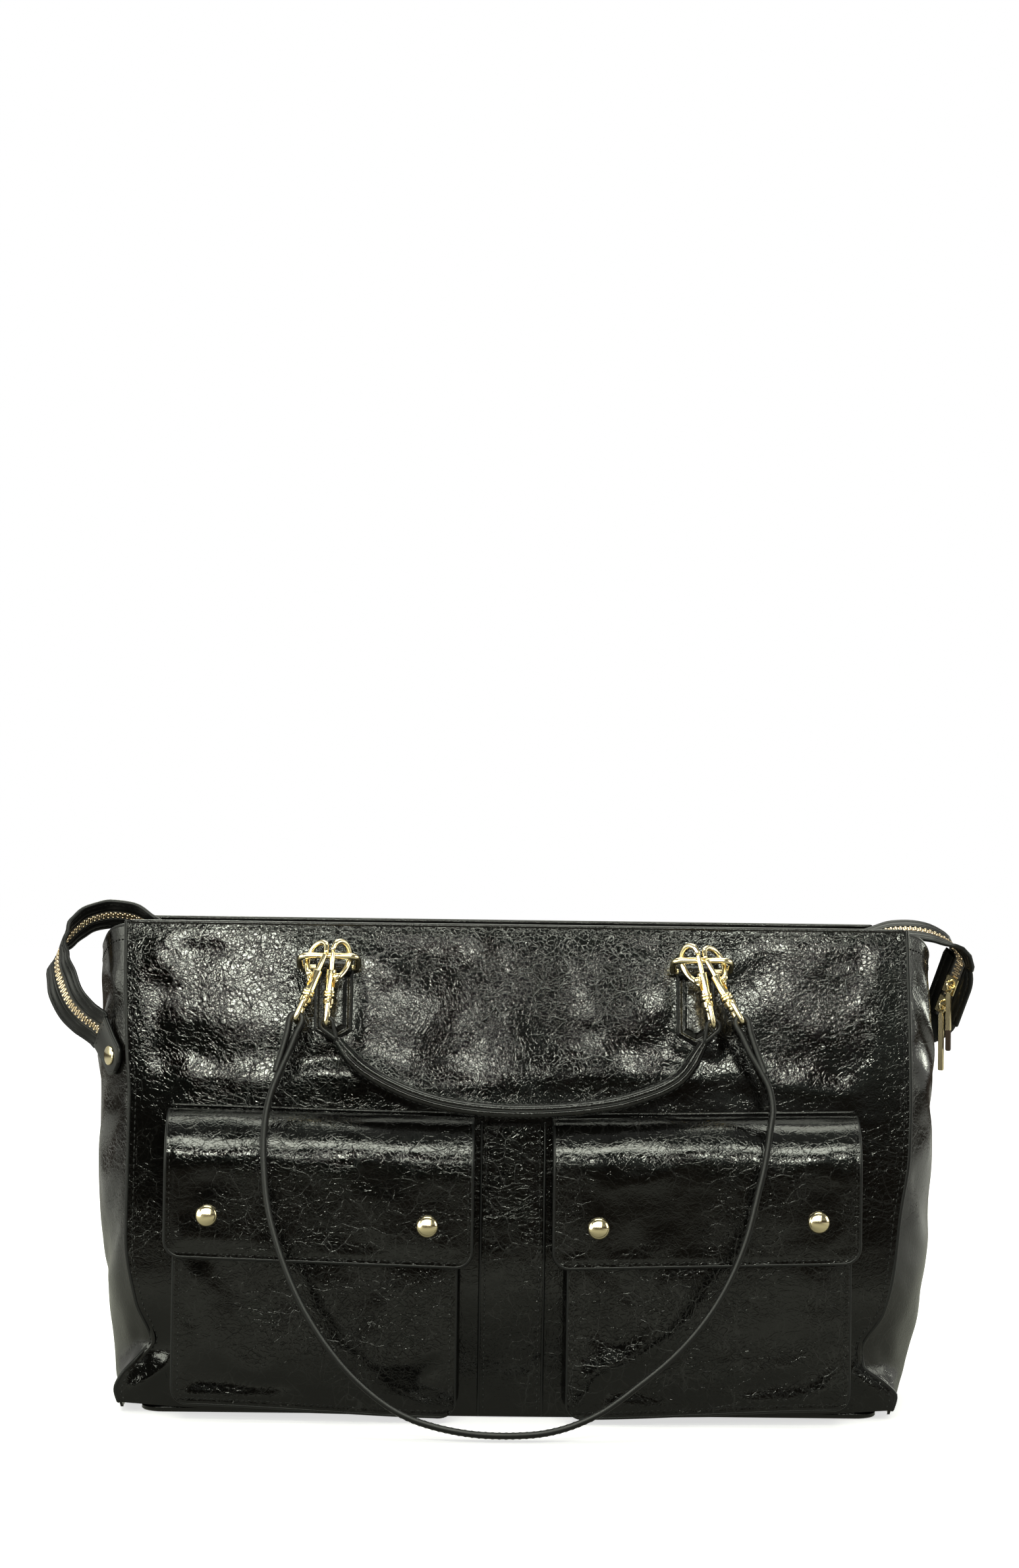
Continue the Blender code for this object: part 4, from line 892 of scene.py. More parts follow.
def panel_relief(x, z, way):
    """How far a panel's leather stands out from its smooth shape."""
    spots = points_at(x, way * 50.0, z)
    seed = 11 if way < 0 else 23
    relief = waves(spots, seed, (0.5, 74), (0.20, 31), (0.09, 12))
    relief += 0.20 * creases(spots * [1, 1, 1.25], 36, seed + 3) - 0.1
    if way < 0:
        relief += front_ledge(x, z, spots)
        # none behind the pockets and flaps
        relief = relief * np.maximum(ramp(z, 169, 180), ramp(np.abs(x), 186, 196))
    fade = ramp(SEAM_X - np.abs(x), 0, 16) * ramp(BAG_HIGH - z, 3, 16) * ramp(z, 0, 8)
    # flat where the tabs are sewn on
    fade = fade * (1 - ramp(16 - np.abs(np.abs(x) - TAB_X), 0, 4) * ramp(z, 195, 203))
    relief = relief * fade
    for side in (-1, 1):
        # folds where the side seam buckles near the bottom
        out = x * side
        relief -= 4.2 * np.exp(-(((out - 199) / 13) ** 2 + ((z - 36) / 15) ** 2))
        slant = (out - 196) * 0.62 + (z - 20) * 0.55
        reach = np.exp(-(((out - 200) / 20) ** 2 + ((z - 18) / 17) ** 2))
        relief += 2.2 * np.exp(-((slant / 4.5) ** 2)) * reach
    return relief


def panel_point(x, z, way):
    return points_at(x, way * (panel_y(x, z) + panel_relief(x, z, way)), lifted(z, x))


def panel(name, way):
    heights = np.concatenate([np.linspace(FLOOR_GAP, 60, 33), np.linspace(62, BAG_HIGH, 86)])
    z, across = grid(heights, np.linspace(0, 1, 169))
    x = -edge_at[-1](z) + across * (edge_at[1](z) + edge_at[-1](z))
    outer = panel_point(x, z, way)
    free = ramp(np.minimum(SEAM_X - np.abs(x), BAG_HIGH - z), 6, 18)
    under_tab = ramp(18 - np.abs(np.abs(x) - TAB_X), 0, 6) * ramp(z, 190, 200)
    low = 1 - ramp(z, 176, 190) if way < 0 else 1 - ramp(z, 5, 20)
    hold = np.maximum(1 - free * (1 - under_tab), low)
    outer = settled(outer, hold, cap=0.45, grow=0.010, step=3)
    piece = Piece().add(slab(outer, outer - [0, way * 1.7, 0]))
    mid_skin = np.array([0, way * 0.85, 0])
    z = np.linspace(FLOOR_GAP + 0.6, BAG_HIGH - 0.5, 150)
    for side in (-1, 1):
        edge = side * edge_at[side](z)
        piece.rim(panel_point(edge, z, way) - mid_skin, 1.25, 10, flat=0.95)
        piece.sew(panel_point(edge - side * 3.4, z, way), [0, way, 0])
    x = np.linspace(-214.5, 216.5, 120)
    piece.add(tube(panel_point(x, BAG_HIGH - 0.35, way) - mid_skin, 1.35, 12))
    piece.sew(panel_point(x[2:-2], BAG_HIGH - 3.8, way), [0, way, 0.15])
    return piece.make(name, [PATENT, EDGE, THREAD], "bag", "patent_leather", name)


for word, way in WAYS.items():
    panel(f"{word}_panel", way).name = f"panel_{word}_leather"

# ---------------------------------------------------------------- sides, base and lining

# rivets of the zip's end tabs on the bag's left and right sides: (y, z)
RIVETS = {-1: (-60.0, 195.0), 1: (30.0, 199.0)}
GUSSET_TOP = 268


def gusset_half(z):
    return depth_at(z) - PANEL_THICK - 0.5


def gusset_point(side, across, z):
    """A point on a side's outer face, across from -1 at the front seam to 1 at the back."""
    start = edge_at[side](z) - 1.0
    reach = start + (side_at[side](z) - start) * (1 - np.abs(across) ** 3)
    return points_at(side * reach, across * gusset_half(z), z)


def gusset(name, side):
    spread = np.sin(np.linspace(-1, 1, 75) * math.pi / 2 * 0.999)
    rows, across = grid(np.linspace(FLOOR_GAP, GUSSET_TOP, 100), spread)
    # the top edge dips in the middle
    z = rows / GUSSET_TOP * (GUSSET_TOP - 17 * (1 - across * across) ** 2)
    outer = gusset_point(side, across, z)
    seed = 31 + side
    relief = 1.1 * lattice(outer, 60, seed) + 0.5 * lattice(outer, 22, seed + 3)
    relief = relief + 0.5 * creases(outer * [1, 1, 0.7], 40, seed + 5) - 0.3
    # a soft slanting fold, and the inward crease of a bag side
    fold = np.exp(-(((z - 205 + 0.9 * (across * 66 + 30)) / 7) ** 2))
    relief += 1.6 * fold * ramp(across, -0.95, -0.5) * ramp(0.4 - across, 0, 0.4)
    relief -= 1.2 * np.exp(-((across / 0.10) ** 2)) * ramp(z, 120, 240)
    # calm round the rivet
    rivet_y, rivet_z = RIVETS[side]
    near = ((outer[..., 1] - rivet_y) / 22) ** 2 + ((z - rivet_z) / 22) ** 2
    calm = 1 - np.exp(-(near**2))
    relief *= ramp(1 - np.abs(across), 0.01, 0.16) * calm * ramp(z, 0, 12)
    outer = outer + points_at(side * relief, 0, 0)
    outer[..., 2] = outer[..., 2] + 3.0 * np.abs(across) ** 4 * np.clip(1 - z / 45, 0, 1)
    seams = 1 - ramp(1 - np.abs(across), 0.02, 0.15)
    hold = np.maximum.reduce([seams, 1 - calm, 1 - ramp(z, 4, 18), ramp(z, 238, 250)])
    outer = settled(outer, hold, cap=1.3, grow=0.02)
    piece = Piece().add(slab(outer, outer - [side * 1.5, 0, 0]))
    top = outer[-1] - [side * 0.75, 0, 0.2]
    piece.rim(top[1:-1], 1.0, 10)
    for column, way in ((4, -1), (-5, 1)):
        piece.sew(outer[3:-2, column], [side * 0.8, way * 0.6, 0])
    piece.sew(outer[-4, 3:-3], [side, 0, 0.05])
    made_name = f"side_{'left' if side < 0 else 'right'}_leather"
    piece.make(made_name, [PATENT_SOFT, EDGE, THREAD], "bag", "patent_leather", name)


for word, side in SIDES.items():
    gusset(f"{word}_gusset", side)


def underside():
    """The base: leather over a board, sewn all round."""
    outline = rounded_box(BASE_X, -BASE_Y, BASE_Y, BASE_ROUND, BASE_ROUND, 8)
    half = np.array([BASE_X, BASE_Y])
    rings = []
    for inset, z in ((2.0, 0.0), (0.6, 0.15), (0.0, 0.8), (0.0, 2.4), (0.8, 3.0)):
        x, y = (outline * (1 - inset / half)).T
        rings.append(points_at(x, y, z))
    piece = Piece().add(loft(rings))
    x, y = (outline * (1 - 5 / half)).T
    loop = points_at(x, y, 0.12)
    loop = even(np.concatenate([loop, loop[:1]]), 300)
    piece.sew(loop, [0, 0, -1], slot=1, height=0.2, sink=0.05)
    piece.make("base_leather", [PATENT_SOFT, THREAD], "bag", "patent_leather", "base_panel")


underside()

# outline of the lining: (height, half width, half depth)
LINING_ROWS = [
    (6.6, 184, 70), (9, 186, 72), (20, 187, 72.5), (50, 191, 76),
    (110, 202, 76), (180, 204, 70), (232, 205.5, 62.5), (251, 206, 60),
]
LINING_ROUND = 12


def inner_bag():
    """The lining: a loose cloth bag with soft folds, open at the top."""
    # round the bag: the corner's signs in x and y, and the angle on its rounding
    outline = []
    corners = [(1, 1), (-1, 1), (-1, -1), (1, -1)]
    for i, (sign_x, sign_y) in enumerate(corners):
        next_x, next_y = corners[(i + 1) % 4]
        outline += [(sign_x, sign_y, math.radians(90 * i + 15 * k)) for k in range(7)]
        for part in np.arange(1, 16) / 16:
            x = sign_x + (next_x - sign_x) * part
            y = sign_y + (next_y - sign_y) * part
            outline.append((x, y, math.radians(90 * i + 90)))
    sign_x, sign_y, angle = np.array(outline).T
    rings = []
    for z, half_x, half_y in along(LINING_ROWS, 40):
        x = sign_x * (half_x - LINING_ROUND) + LINING_ROUND * np.cos(angle)
        y = sign_y * (half_y - LINING_ROUND) + LINING_ROUND * np.sin(angle)
        ring = points_at(x, y, z)
        push = (0.8 * lattice(ring * [1, 1, 0.4], 26, 77) - 0.9) * ramp(z, 10, 40)
        ring[:, :2] *= 1 + push[:, None] / 120
        rings.append(ring)
    rings = np.array(rings)
    inside = rings * [0.9955, 0.988, 1]
    inside[0, :, 2] += 0.9
    rows, count = rings.shape[:2]
    back = rows * count
    verts = np.concatenate([rings.reshape(-1, 3), inside.reshape(-1, 3)])
    faces = []
    for i in range(rows - 1):
        for j in range(count):
            k = (j + 1) % count
            low, high = i * count, (i + 1) * count
            faces.append([low + j, low + k, high + k, high + j])
            faces.append([back + low + j, back + high + j, back + high + k, back + low + k])
    top = (rows - 1) * count
    for j in range(count):
        k = (j + 1) % count
        faces.append([top + j, top + k, back + top + k, back + top + j])
    faces += [list(range(count))[::-1], [back + j for j in range(count)]]
    piece = Piece().add((verts, faces))
    piece.make("lining_cloth_bag", [LINING], "bag", "lining_cloth", "lining")


inner_bag()

# ---------------------------------------------------------------- zip

# a place on the zip: its middle, the direction across it, its outer normal, half width and run
Station = namedtuple("Station", "middle front normal half way")


def tab_frame(side, forward, down):
    """An end tab on the bag's side: its rivet, its normal, its run and the direction across it."""
    y, z = RIVETS[side]
    step = 0.5
    across = y / gusset_half(z)
    point = gusset_point(side, across, z)
    back = unit(
        gusset_point(side, across + step / 70, z) - gusset_point(side, across - step / 70, z)
    )
    upward = unit(gusset_point(side, across, z + step) - gusset_point(side, across, z - step))
    normal = unit(np.cross(back, upward))
    if normal[0] * side < 0:
        normal = -normal
    fall = np.cross(back, normal)
    if fall[2] > 0:
        fall = -fall
    run = unit(forward * -back + down * unit(fall))
    front = unit(np.cross(normal, run))
    if front[1] > 0:
        front = -front
    return point + normal * (0.5 + TAPE_THICK / 2), normal, run, front


LEFT_TAB = tab_frame(-1, forward=0.776, down=0.63)
RIGHT_TAB = tab_frame(1, forward=-0.45, down=0.89)
LEFT_RIVET, _, LEFT_RUN, LEFT_FRONT = LEFT_TAB
LEFT_END = LEFT_RIVET - 20.0 * LEFT_RUN
RIGHT_TOP, RIGHT_END = np.array([260.5, 1.5, 250.5]), np.array([252.0, 17.0, 219.0])
RIGHT_RUN = unit(RIGHT_END - RIGHT_TOP)
RIGHT_FRONT = np.array([0.70, -0.52, -0.45])
RIGHT_FRONT = unit(RIGHT_FRONT - RIGHT_FRONT @ RIGHT_RUN * RIGHT_RUN)

# from the left end over the top to the right end: (middle, direction across, half width)
ZIP_PATH = [
    (LEFT_END, LEFT_FRONT, ZIP_HALF),
    ([-242, -45, 215], (0.55, -0.55, 0.62), ZIP_HALF),
    ([-250, -40, 222.5], (0.66, -0.58, 0.45), ZIP_HALF),
    ([-256, -33, 233], (0.72, -0.62, 0.25), ZIP_HALF),
    ([-260, -25, 244], (0.55, -0.83, 0.1), ZIP_HALF),
    ([-259, -18, 254], (0.1, -0.98, 0.05), ZIP_HALF),
    ([-254, -11, 262], (-0.25, -0.93, 0.2), ZIP_HALF),
    ([-246, -5, 269], (-0.3, -0.86, 0.4), ZIP_HALF),
    ([-234, 0, 272.5], (-0.1, -0.78, 0.62), ZIP_HALF),
    ([-221, 1, 271.5], (0.05, -0.78, 0.62), ZIP_HALF),
    ([-208, 1, 266.5], (0.05, -0.9, 0.4), ZIP_HALF),
    ([-196, 0, 261], (0, -0.98, 0.1), 22),
    ([-184, 0, ZIP_Z + 1], (0, -1, 0), 59),
    ([-160, 0, ZIP_Z], (0, -1, 0), 60),
    ([0, 0, ZIP_Z], (0, -1, 0), 60),
    ([160, 0, ZIP_Z], (0, -1, 0), 60),
    ([184, 0, ZIP_Z + 1], (0, -1, 0), 59),
    ([197, 0, 261.5], (0, -0.98, -0.05), 22),
    ([209, 0, 266.5], (0, -0.95, -0.25), ZIP_HALF),
    ([222, 0, 269], (0, -0.92, -0.39), ZIP_HALF),
    ([236, 0, 269], (0, -0.92, -0.39), ZIP_HALF),
    ([247, -1, 266], (0.12, -0.92, -0.38), ZIP_HALF),
    ([256, -2, 260], (0.40, -0.79, -0.44), ZIP_HALF),
    (RIGHT_TOP * 0.35 + np.array([260.5, -3, 253]) * 0.65, (0.62, -0.62, -0.45), ZIP_HALF),
    (RIGHT_TOP, RIGHT_FRONT, ZIP_HALF),
    (RIGHT_TOP * 0.5 + RIGHT_END * 0.5, RIGHT_FRONT, ZIP_HALF),
    (RIGHT_END, RIGHT_FRONT, ZIP_HALF),
]


def zip_stations(spacing):
    """Stations along the whole zip, about this far apart."""
    points, fronts, halves = (np.array(column, float) for column in zip(*ZIP_PATH))
    chord = strides(points)
    slope = np.gradient(points, distance_run(points), axis=0)
    slope[-3:] = RIGHT_RUN
    slope[0] = -LEFT_RUN
    rows = []
    for i in range(len(points) - 1):
        count = max(2, int(round(chord[i] / spacing)))
        for step in np.arange(count) / count:
            ends = points[i], points[i + 1], slope[i], slope[i + 1]
            ease = ramp(step, 0, 1)
            front = fronts[i] * (1 - ease) + fronts[i + 1] * ease
            half = halves[i] * (1 - ease) + halves[i + 1] * ease
            rows.append((hermite(step, chord[i], *ends), front, half))
    rows.append((points[-1], fronts[-1], ZIP_HALF))
    ways = tangents([row[0] for row in rows])
    ways[0] = -LEFT_RUN
    ways[-1] = RIGHT_RUN
    stations = []
    for (middle, front, half), way in zip(rows, ways):
        front = unit(front - front @ way * way)
        stations.append(Station(middle, front, np.cross(front, way), half, way))
    return stations


STATIONS = zip_stations(spacing=2.6)


def off(station, across, above=0.0):
    """A point beside and above a station's middle."""
    return station.middle + across * station.front + above * station.normal


def normals_of(stations):
    return np.array([station.normal for station in stations])


def border_half(station, way):
    """Half width of one border. The right loop's outer edge rounds off where it turns down."""
    if way < 0 or station.middle[0] < 230:
        return station.half
    bend = max(0.0, 13.0 - float(np.linalg.norm(station.middle - RIGHT_TOP)))
    return station.half - (22.0 - math.sqrt(22.0**2 - bend**2))


def border_section(station, way):
    """Section of a leather border: rounded at both edges, with a sewn groove near each."""
    inner, outer, top = ZIP_SLOT, border_half(station, way), TAPE_THICK / 2
    if outer >= 50:
        outer = outer + 2.5 * ramp(outer, 50, 60)
    upper = [
        (inner, top - 0.35), (inner + 0.35, top), (inner + 1.4, top), (inner + 1.9, top - 0.32),
        (inner + 2.4, top), (outer - 3.1, top + 0.02), (outer - 2.5, top - 0.34),
        (outer - 1.9, top), (outer - 0.5, top - 0.05), (outer - 0.08, top - 0.5),
    ]
    return [off(station, way * across, above) for across, above in both_faces(upper)]


def zip_border(word, way):
    piece = Piece().add(loft([border_section(station, way) for station in STATIONS]))
    groove = TAPE_THICK / 2 - 0.25
    for end in (-1, 1):
        # the free loops beyond the bag's top
        picked = [station for station in STATIONS if end * station.middle[0] >= 203]
        normals = normals_of(picked)
        edge = np.array([off(s, way * (border_half(s, way) - 0.35)) for s in picked])
        piece.rim(edge, 0.95, 10, normal=normals, flat=1.25)
        for face in (-1, 1):
            path = [off(s, way * (border_half(s, way) - 2.5), face * groove) for s in picked]
            piece.sew(path, face * normals, size=2.3, width=0.3, height=0.3)
    picked = [station for station in STATIONS if abs(station.middle[0]) < 203]
    path = [off(station, way * (ZIP_SLOT + 1.9), groove) for station in picked]
    piece.sew(path, normals_of(picked), width=0.3)
    materials = [SATIN, EDGE, THREAD]
    piece.make(f"zip_border_{word}", materials, "bag", "satin_leather", f"zip_tape_{word}")


zip_border("front", 1)
zip_border("back", -1)


def zip_chain():
    """The cloth between the borders and the two interlocking rows of teeth on it."""
    pitch = 1.4
    piece = Piece()
    section = [(-4.4, -0.35), (4.4, -0.35), (4.4, 0.35), (-4.4, 0.35)]
    piece.add(loft([[off(station, *place) for place in section] for station in STATIONS]), 1)
    middles, fronts, normals, _, ways = (np.array(column) for column in zip(*STATIONS))
    run = distance_run(middles)
    for i in range(int((run[-1] - 2) / pitch)):
        place = pitch + i * pitch
        middle = at_run(run, middles, place)
        front = unit(at_run(run, fronts, place))
        axes = front, at_run(run, ways, place), at_run(run, normals, place)
        way = 1 if i % 2 else -1
        piece.add(soft_block(middle + way * 0.55 * front, axes, (1.75, 0.52, 1.18), 0.22))
        piece.add(soft_block(middle + way * 1.95 * front, axes, (0.55, 0.62, 1.25), 0.2))
    piece.make("zip_chain", [TEETH, TAPE], "bag", "gold_hardware", "zip_teeth", angle=35)


zip_chain()

# blunt end of a tab: (distance past the rivet, half width)
TAB_END = [
    (-3, 10.0), (0, 10.0), (3, 10.0), (5, 9.8), (6.4, 8.4), (8.0, 6.7), (9.2, 5.2), (9.5, 4.4),
]


def tab_stations(tab, start, way, first):
    """Stations from the zip's end, where it runs along way with first across it, to the tip."""
    rivet, _, run, front = tab
    chord = np.linalg.norm(rivet - start) - 6.0
    begin, end = start + 0.2 * way, rivet - 6.0 * run
    stations = []
    for s in np.linspace(0, 1, 14):
        point = hermite(s, chord, begin, end, way, run)
        ahead = unit(
            (6 * s * s - 6 * s) * begin
            + (3 * s * s - 4 * s + 1) * chord * way
            - (6 * s * s - 6 * s) * end
            + (3 * s * s - 2 * s) * chord * run
        )
        across = unit(first * (1 - s) + front * s)
        across = unit(across - across @ ahead * ahead)
        half = 10.0 + 1.2 * (1 - s)
        stations.append(Station(point, across, np.cross(across, ahead), half, ahead))
    lift = np.cross(front, run)
    return stations + [Station(rivet + g * run, front, lift, half, run) for g, half in TAB_END]


def tab_section(station):
    half, top = station.half, TAPE_THICK / 2
    left = [
        (-half, top - 0.8), (-half + 0.15, top - 0.3), (-half + 0.6, top),
        (-half + 1.5, top), (-half + 1.9, top - 0.25), (-half + 2.4, top),
    ]
    upper = left + [(0, top + 0.15)] + [(-across, above) for across, above in left[::-1]]
    return [off(station, *place) for place in both_faces(upper)]


def zip_tab(word, tab, start, way, first):
    """The zip's leather end tab, sewn round its edge and riveted to the bag's side."""
    rivet, normal = tab[:2]
    stations = tab_stations(tab, start, way, first)
    half_thick = TAPE_THICK / 2
    hole = turned([(0, -6), (1.7, -6), (1.7, 4), (0, 4)], rivet, normal, 32)
    piece = Piece().add(carved(loft([tab_section(station) for station in stations]), hole))
    sewn = stations[:-1]
    for side in (-1, 1):
        path = [off(s, side * (s.half - 1.9), half_thick - 0.15) for s in sewn]
        piece.sew(path, normals_of(sewn), pitch=3.0, size=2.2, width=0.32)
        edge = [off(s, side * (s.half - 0.5)) for s in stations]
        piece.rim(edge, 0.75, 8, normal=normals_of(stations), flat=1.4)
    joint = stations[2]
    for face in (1, -1):
        level = face * (half_thick - 0.05)
        path = [off(joint, across, level) for across in np.linspace(-8.5, 8.5, 9)]
        piece.sew(path, face * joint.normal, pitch=2.9, size=2.1, width=0.34)
    materials = [TAB_SATIN, EDGE, THREAD]
    piece.make(f"zip_end_{word}", materials, "bag", "satin_leather", f"zip_tab_{word}")
    low, top = -half_thick - 0.5 - 1.5, half_thick + 0.3
    profile = [
        (0, low - 1.6), (3.7, low - 1.6), (4, low - 1.4), (4, low - 0.6), (1.5, low - 0.6),
        (1.5, top - 0.1), (5.1, top - 0.1), (5.45, top + 0.25), (5.3, top + 0.75),
        (4.8, top + 1.0), (0, top + 1.12),
    ]
    cap = Piece().add(turned(profile, rivet, normal, 48))
    name = f"zip_rivet_{word}"
    cap.make(f"{name}_cap", [GOLD], "bag", "gold_hardware", name, angle=30)


zip_tab("left", LEFT_TAB, LEFT_END, LEFT_RUN, LEFT_FRONT)
zip_tab("right", RIGHT_TAB, RIGHT_END, RIGHT_RUN, RIGHT_FRONT)

# ---------------------------------------------------------------- zip sliders and pulls

SLIDER_HALF = 5.5
SLIDER_BACK = {1: 21.5, 2: 8.0}  # distances back from the zip's right end
SLIDER_NORMAL = -np.cross(RIGHT_FRONT, RIGHT_RUN)
PLATE_TOP = TEETH_THICK / 2 + 0.35 + 1.1
BAIL_RADIUS, BAIL_WIRE, BAIL_LEG = 2.4, 0.7, 1.7
EYELET_RADIUS, EYELET_WIRE = 1.9, 0.55
PULL_LONG, PULL_CHAMFER = 34.0, 0.3
PULL_AXIS = unit([RIGHT_FRONT[0], RIGHT_FRONT[1], 0])
PULL_OUT = unit(np.cross([0, 0, 1], PULL_AXIS))
if PULL_OUT @ SLIDER_NORMAL < 0:
    PULL_OUT = -PULL_OUT


def slider(number, middle, axis):
    """Two plates joined by side walls, with a wire bail for the pull."""
    axes = (RIGHT_RUN, RIGHT_FRONT, SLIDER_NORMAL)
    piece = Piece()
    for sign in (1, -1):
        plate = middle + sign * (PLATE_TOP - 0.55) * SLIDER_NORMAL
        piece.add(soft_block(plate, axes, (SLIDER_HALF, 4.2, 0.55), 0.32))
        ridge = middle + sign * (PLATE_TOP - 0.12) * SLIDER_NORMAL
        piece.add(soft_block(ridge, axes, (SLIDER_HALF - 1.3, 2.4, 0.16), 0.12))
    for sign in (1, -1):
        wall = middle + sign * 2.8 * RIGHT_FRONT
        piece.add(soft_block(wall, axes, (SLIDER_HALF - 1.0, 0.27, PLATE_TOP - 0.3), 0.1))
    legs = [BAIL_LEG + 0.8, 0.4 * BAIL_LEG]
    arch = [axis + BAIL_RADIUS * UP - leg * PULL_OUT for leg in legs]
    for angle in np.linspace(0, math.pi, 19):
        arch.append(axis + BAIL_RADIUS * (math.cos(angle) * UP + math.sin(angle) * PULL_OUT))
    arch += [axis - BAIL_RADIUS * UP - leg * PULL_OUT for leg in legs[::-1]]
    piece.add(tube(arch, BAIL_WIRE, 14, normal=PULL_AXIS))
    body = f"zip_slider_{number}"
    piece.make(f"zip_runner_{number}", [GOLD], body, "gold_hardware", body, angle=30)


def pull(number, eyelet):
    """An eyelet and a long metal bar. The first pull's lower end is coloured dark brown: painted
    shade, where that end of the bar lies in shadow.
    """
    piece = Piece()
    loop = [
        eyelet + EYELET_RADIUS * (math.cos(angle) * UP + math.sin(angle) * PULL_AXIS)
        for angle in 2 * math.pi * np.arange(36) / 36
    ]
    piece.add(tube(loop, EYELET_WIRE, 12, closed=True, normal=PULL_OUT))
    top = eyelet - (EYELET_RADIUS - 0.2) * UP
    axes = (-UP, PULL_AXIS, PULL_OUT)
    end = 22.5 if number == 1 else PULL_LONG
    stations = [
        (0, 0.6, 0.5), (0.25, 0.95, 0.75), (1.2, 1.3, 0.8), (2.6, 1.7, 0.8),
        (end - 0.8, 1.7, 0.8), (end - 0.2, 1.5, 0.7), (end, 1.2, 0.45),
    ]
    piece.add(bar(top, axes, stations, PULL_CHAMFER))
    # painted shade: the first pull's lower end in dark brown, where the bar lies in shadow
    if number == 1:
        stations = [
            (end - 1.2, 1.2, 0.5), (end - 0.8, 1.62, 0.74), (PULL_LONG - 1.0, 1.62, 0.74),
            (PULL_LONG - 0.3, 1.35, 0.7), (PULL_LONG, 0.8, 0.5),
        ]
        piece.add(bar(top, axes, stations, PULL_CHAMFER), 1)
    body = f"zip_pull_{number}"
    piece.make(f"zip_puller_{number}", [GOLD, PULL_PAINTED_SHADE], body, "gold_hardware", body, angle=30)


for number, back in SLIDER_BACK.items():
    middle = RIGHT_END - back * RIGHT_RUN
    axis = middle + PLATE_TOP * SLIDER_NORMAL + BAIL_LEG * PULL_OUT
    slider(number, middle, axis)
    pull(number, axis - BAIL_RADIUS * UP)

# ---------------------------------------------------------------- centre strip and pockets


def strip():
    """The strip up the front's middle, flat between its two seams and pulled in along them."""
    edge = np.array([STRIP_HALF, 17.3, 16.9])
    columns = np.concatenate([-edge, np.linspace(-16, 16, 21), edge[::-1]])
    z, x = grid(np.linspace(2.0, STRIP_TOP, 100), columns)
    relief = waves(points_at(x, -90, z), 91, (0.35, 22), (0.2, 9))
    relief = relief - 0.45 * bell(np.abs(x), STRIP_SEAM, 0.8)
    relief = relief - 0.5 * ramp(np.abs(x), 16.6, STRIP_HALF)
    base = -(panel_y(x, z) + 0.6)
    outer = points_at(x, base - 1.7 - relief, z)
    piece = Piece().add(slab(outer, points_at(x, base, z)))
    for side, column in ((-1, 2), (1, -3)):
        line = outer[1:-1, column]
        piece.sew(points_at(side * STRIP_SEAM, line[:, 1] - 0.05, line[:, 2]), [0, -1, 0])
        piece.rim(points_at(side * 17.4, base[:, 0] - 0.9, z[:, 0]), 0.85, 8)
    materials = [PATENT, EDGE, THREAD]
    piece.make("centre_strip_leather", materials, "bag", "patent_leather", "centre_strip")


strip()

POCKET_LEFT, POCKET_RIGHT = POCKET_IN - POCKET_LIP, POCKET_OUT + POCKET_LIP


def pocket_floor(x):
    """Height of the pocket's bottom edge: it hangs lower towards the bag's middle."""
    return 5.2 + 6.0 * ramp(x, POCKET_IN - 5, POCKET_OUT + 5)


def pocket_depth(x, z):
    """How far out the pocket's front stands: crowned, falling back at its edges."""
    middle, half = (POCKET_IN + POCKET_OUT) / 2, (POCKET_OUT - POCKET_IN) / 2
    across = 1 - np.clip(np.abs((x - middle) / half), 0, 1) ** 2.2
    upward = np.clip(np.sin(math.pi * np.clip((z - 4) / 150, 0, 1)), 0, 1)
    return POCKET_Y - 0.6 + 1.3 * across * upward


def pocket_outline(inset, count):
    """The front's outline (x, z) moved in: down the inner side, along the bottom and up."""
    left, right = POCKET_LEFT + inset, POCKET_RIGHT - inset
    radius = max(POCKET_ROUND - inset, 1.5)

    def floor_at(x):
        return pocket_floor(x) - POCKET_LIP + inset

    points = hem(
        left, right, floor_at, top=POCKET_TOP - 5, radius=radius, rise=1, margin=3,
        counts=(20, 7, 30),
    )
    return even(np.array([(left, POCKET_TOP)] + points + [(right, POCKET_TOP)]), count)


def slanting_dent(x, z, centre, long):
    x, z = x - centre[0], z - centre[1]
    return np.exp(-((x * 0.5 - z * 0.86) / 7) ** 2 - ((x * 0.86 + z * 0.5) / long) ** 2)


def pocket_front(side):
    """Outer face of a pocket's front, as a grid of points."""
    across = (1 - np.cos(np.linspace(0, math.pi, 81))) / 2
    across = 0.5 * across + 0.5 * np.linspace(0, 1, 81)
    upward = np.linspace(0, 1, 70)
    upward = 0.6 * upward + 0.4 * upward * upward
    upward, across = grid(upward, across)
    x = POCKET_LEFT + across * (POCKET_RIGHT - POCKET_LEFT)
    from_side = np.minimum(x - POCKET_LEFT, POCKET_RIGHT - x)
    low = pocket_floor(x) - POCKET_LIP + corner_cut(from_side, POCKET_ROUND)
    z = low + upward * (POCKET_TOP - low)
    near = np.minimum(from_side, z - (pocket_floor(x) - POCKET_LIP))
    spots = points_at(side * x, -100, z)
    seed = 51 + side * 2
    wave = waves(spots, seed, (0.85, 48), (0.4, 19), (0.14, 8))
    wave = wave + 0.3 * (creases(spots * [1, 1, 1.3], 30, seed + 3) - 0.5)
    if side > 0:
        # a fold near the inner bottom corner
        wave += 1.5 * slanting_dent(x, z, (56, 34), 22)
        wave -= 1.1 * slanting_dent(x, z, (66, 22), 26)
    depth = pocket_depth(x, z) + wave * ramp(near, 3, 14) * (1 - 0.9 * ramp(z, 84, 96))
    depth = depth - 0.35 * bell(near, 3.6, 0.9) - 0.7 * (1 - ramp(near, 0, 1.2))
    hold = np.maximum(1 - ramp(near, 3, 12), ramp(z, 78, 92))
    return settled(points_at(side * x, -depth, z), hold, cap=0.5, grow=0.008)


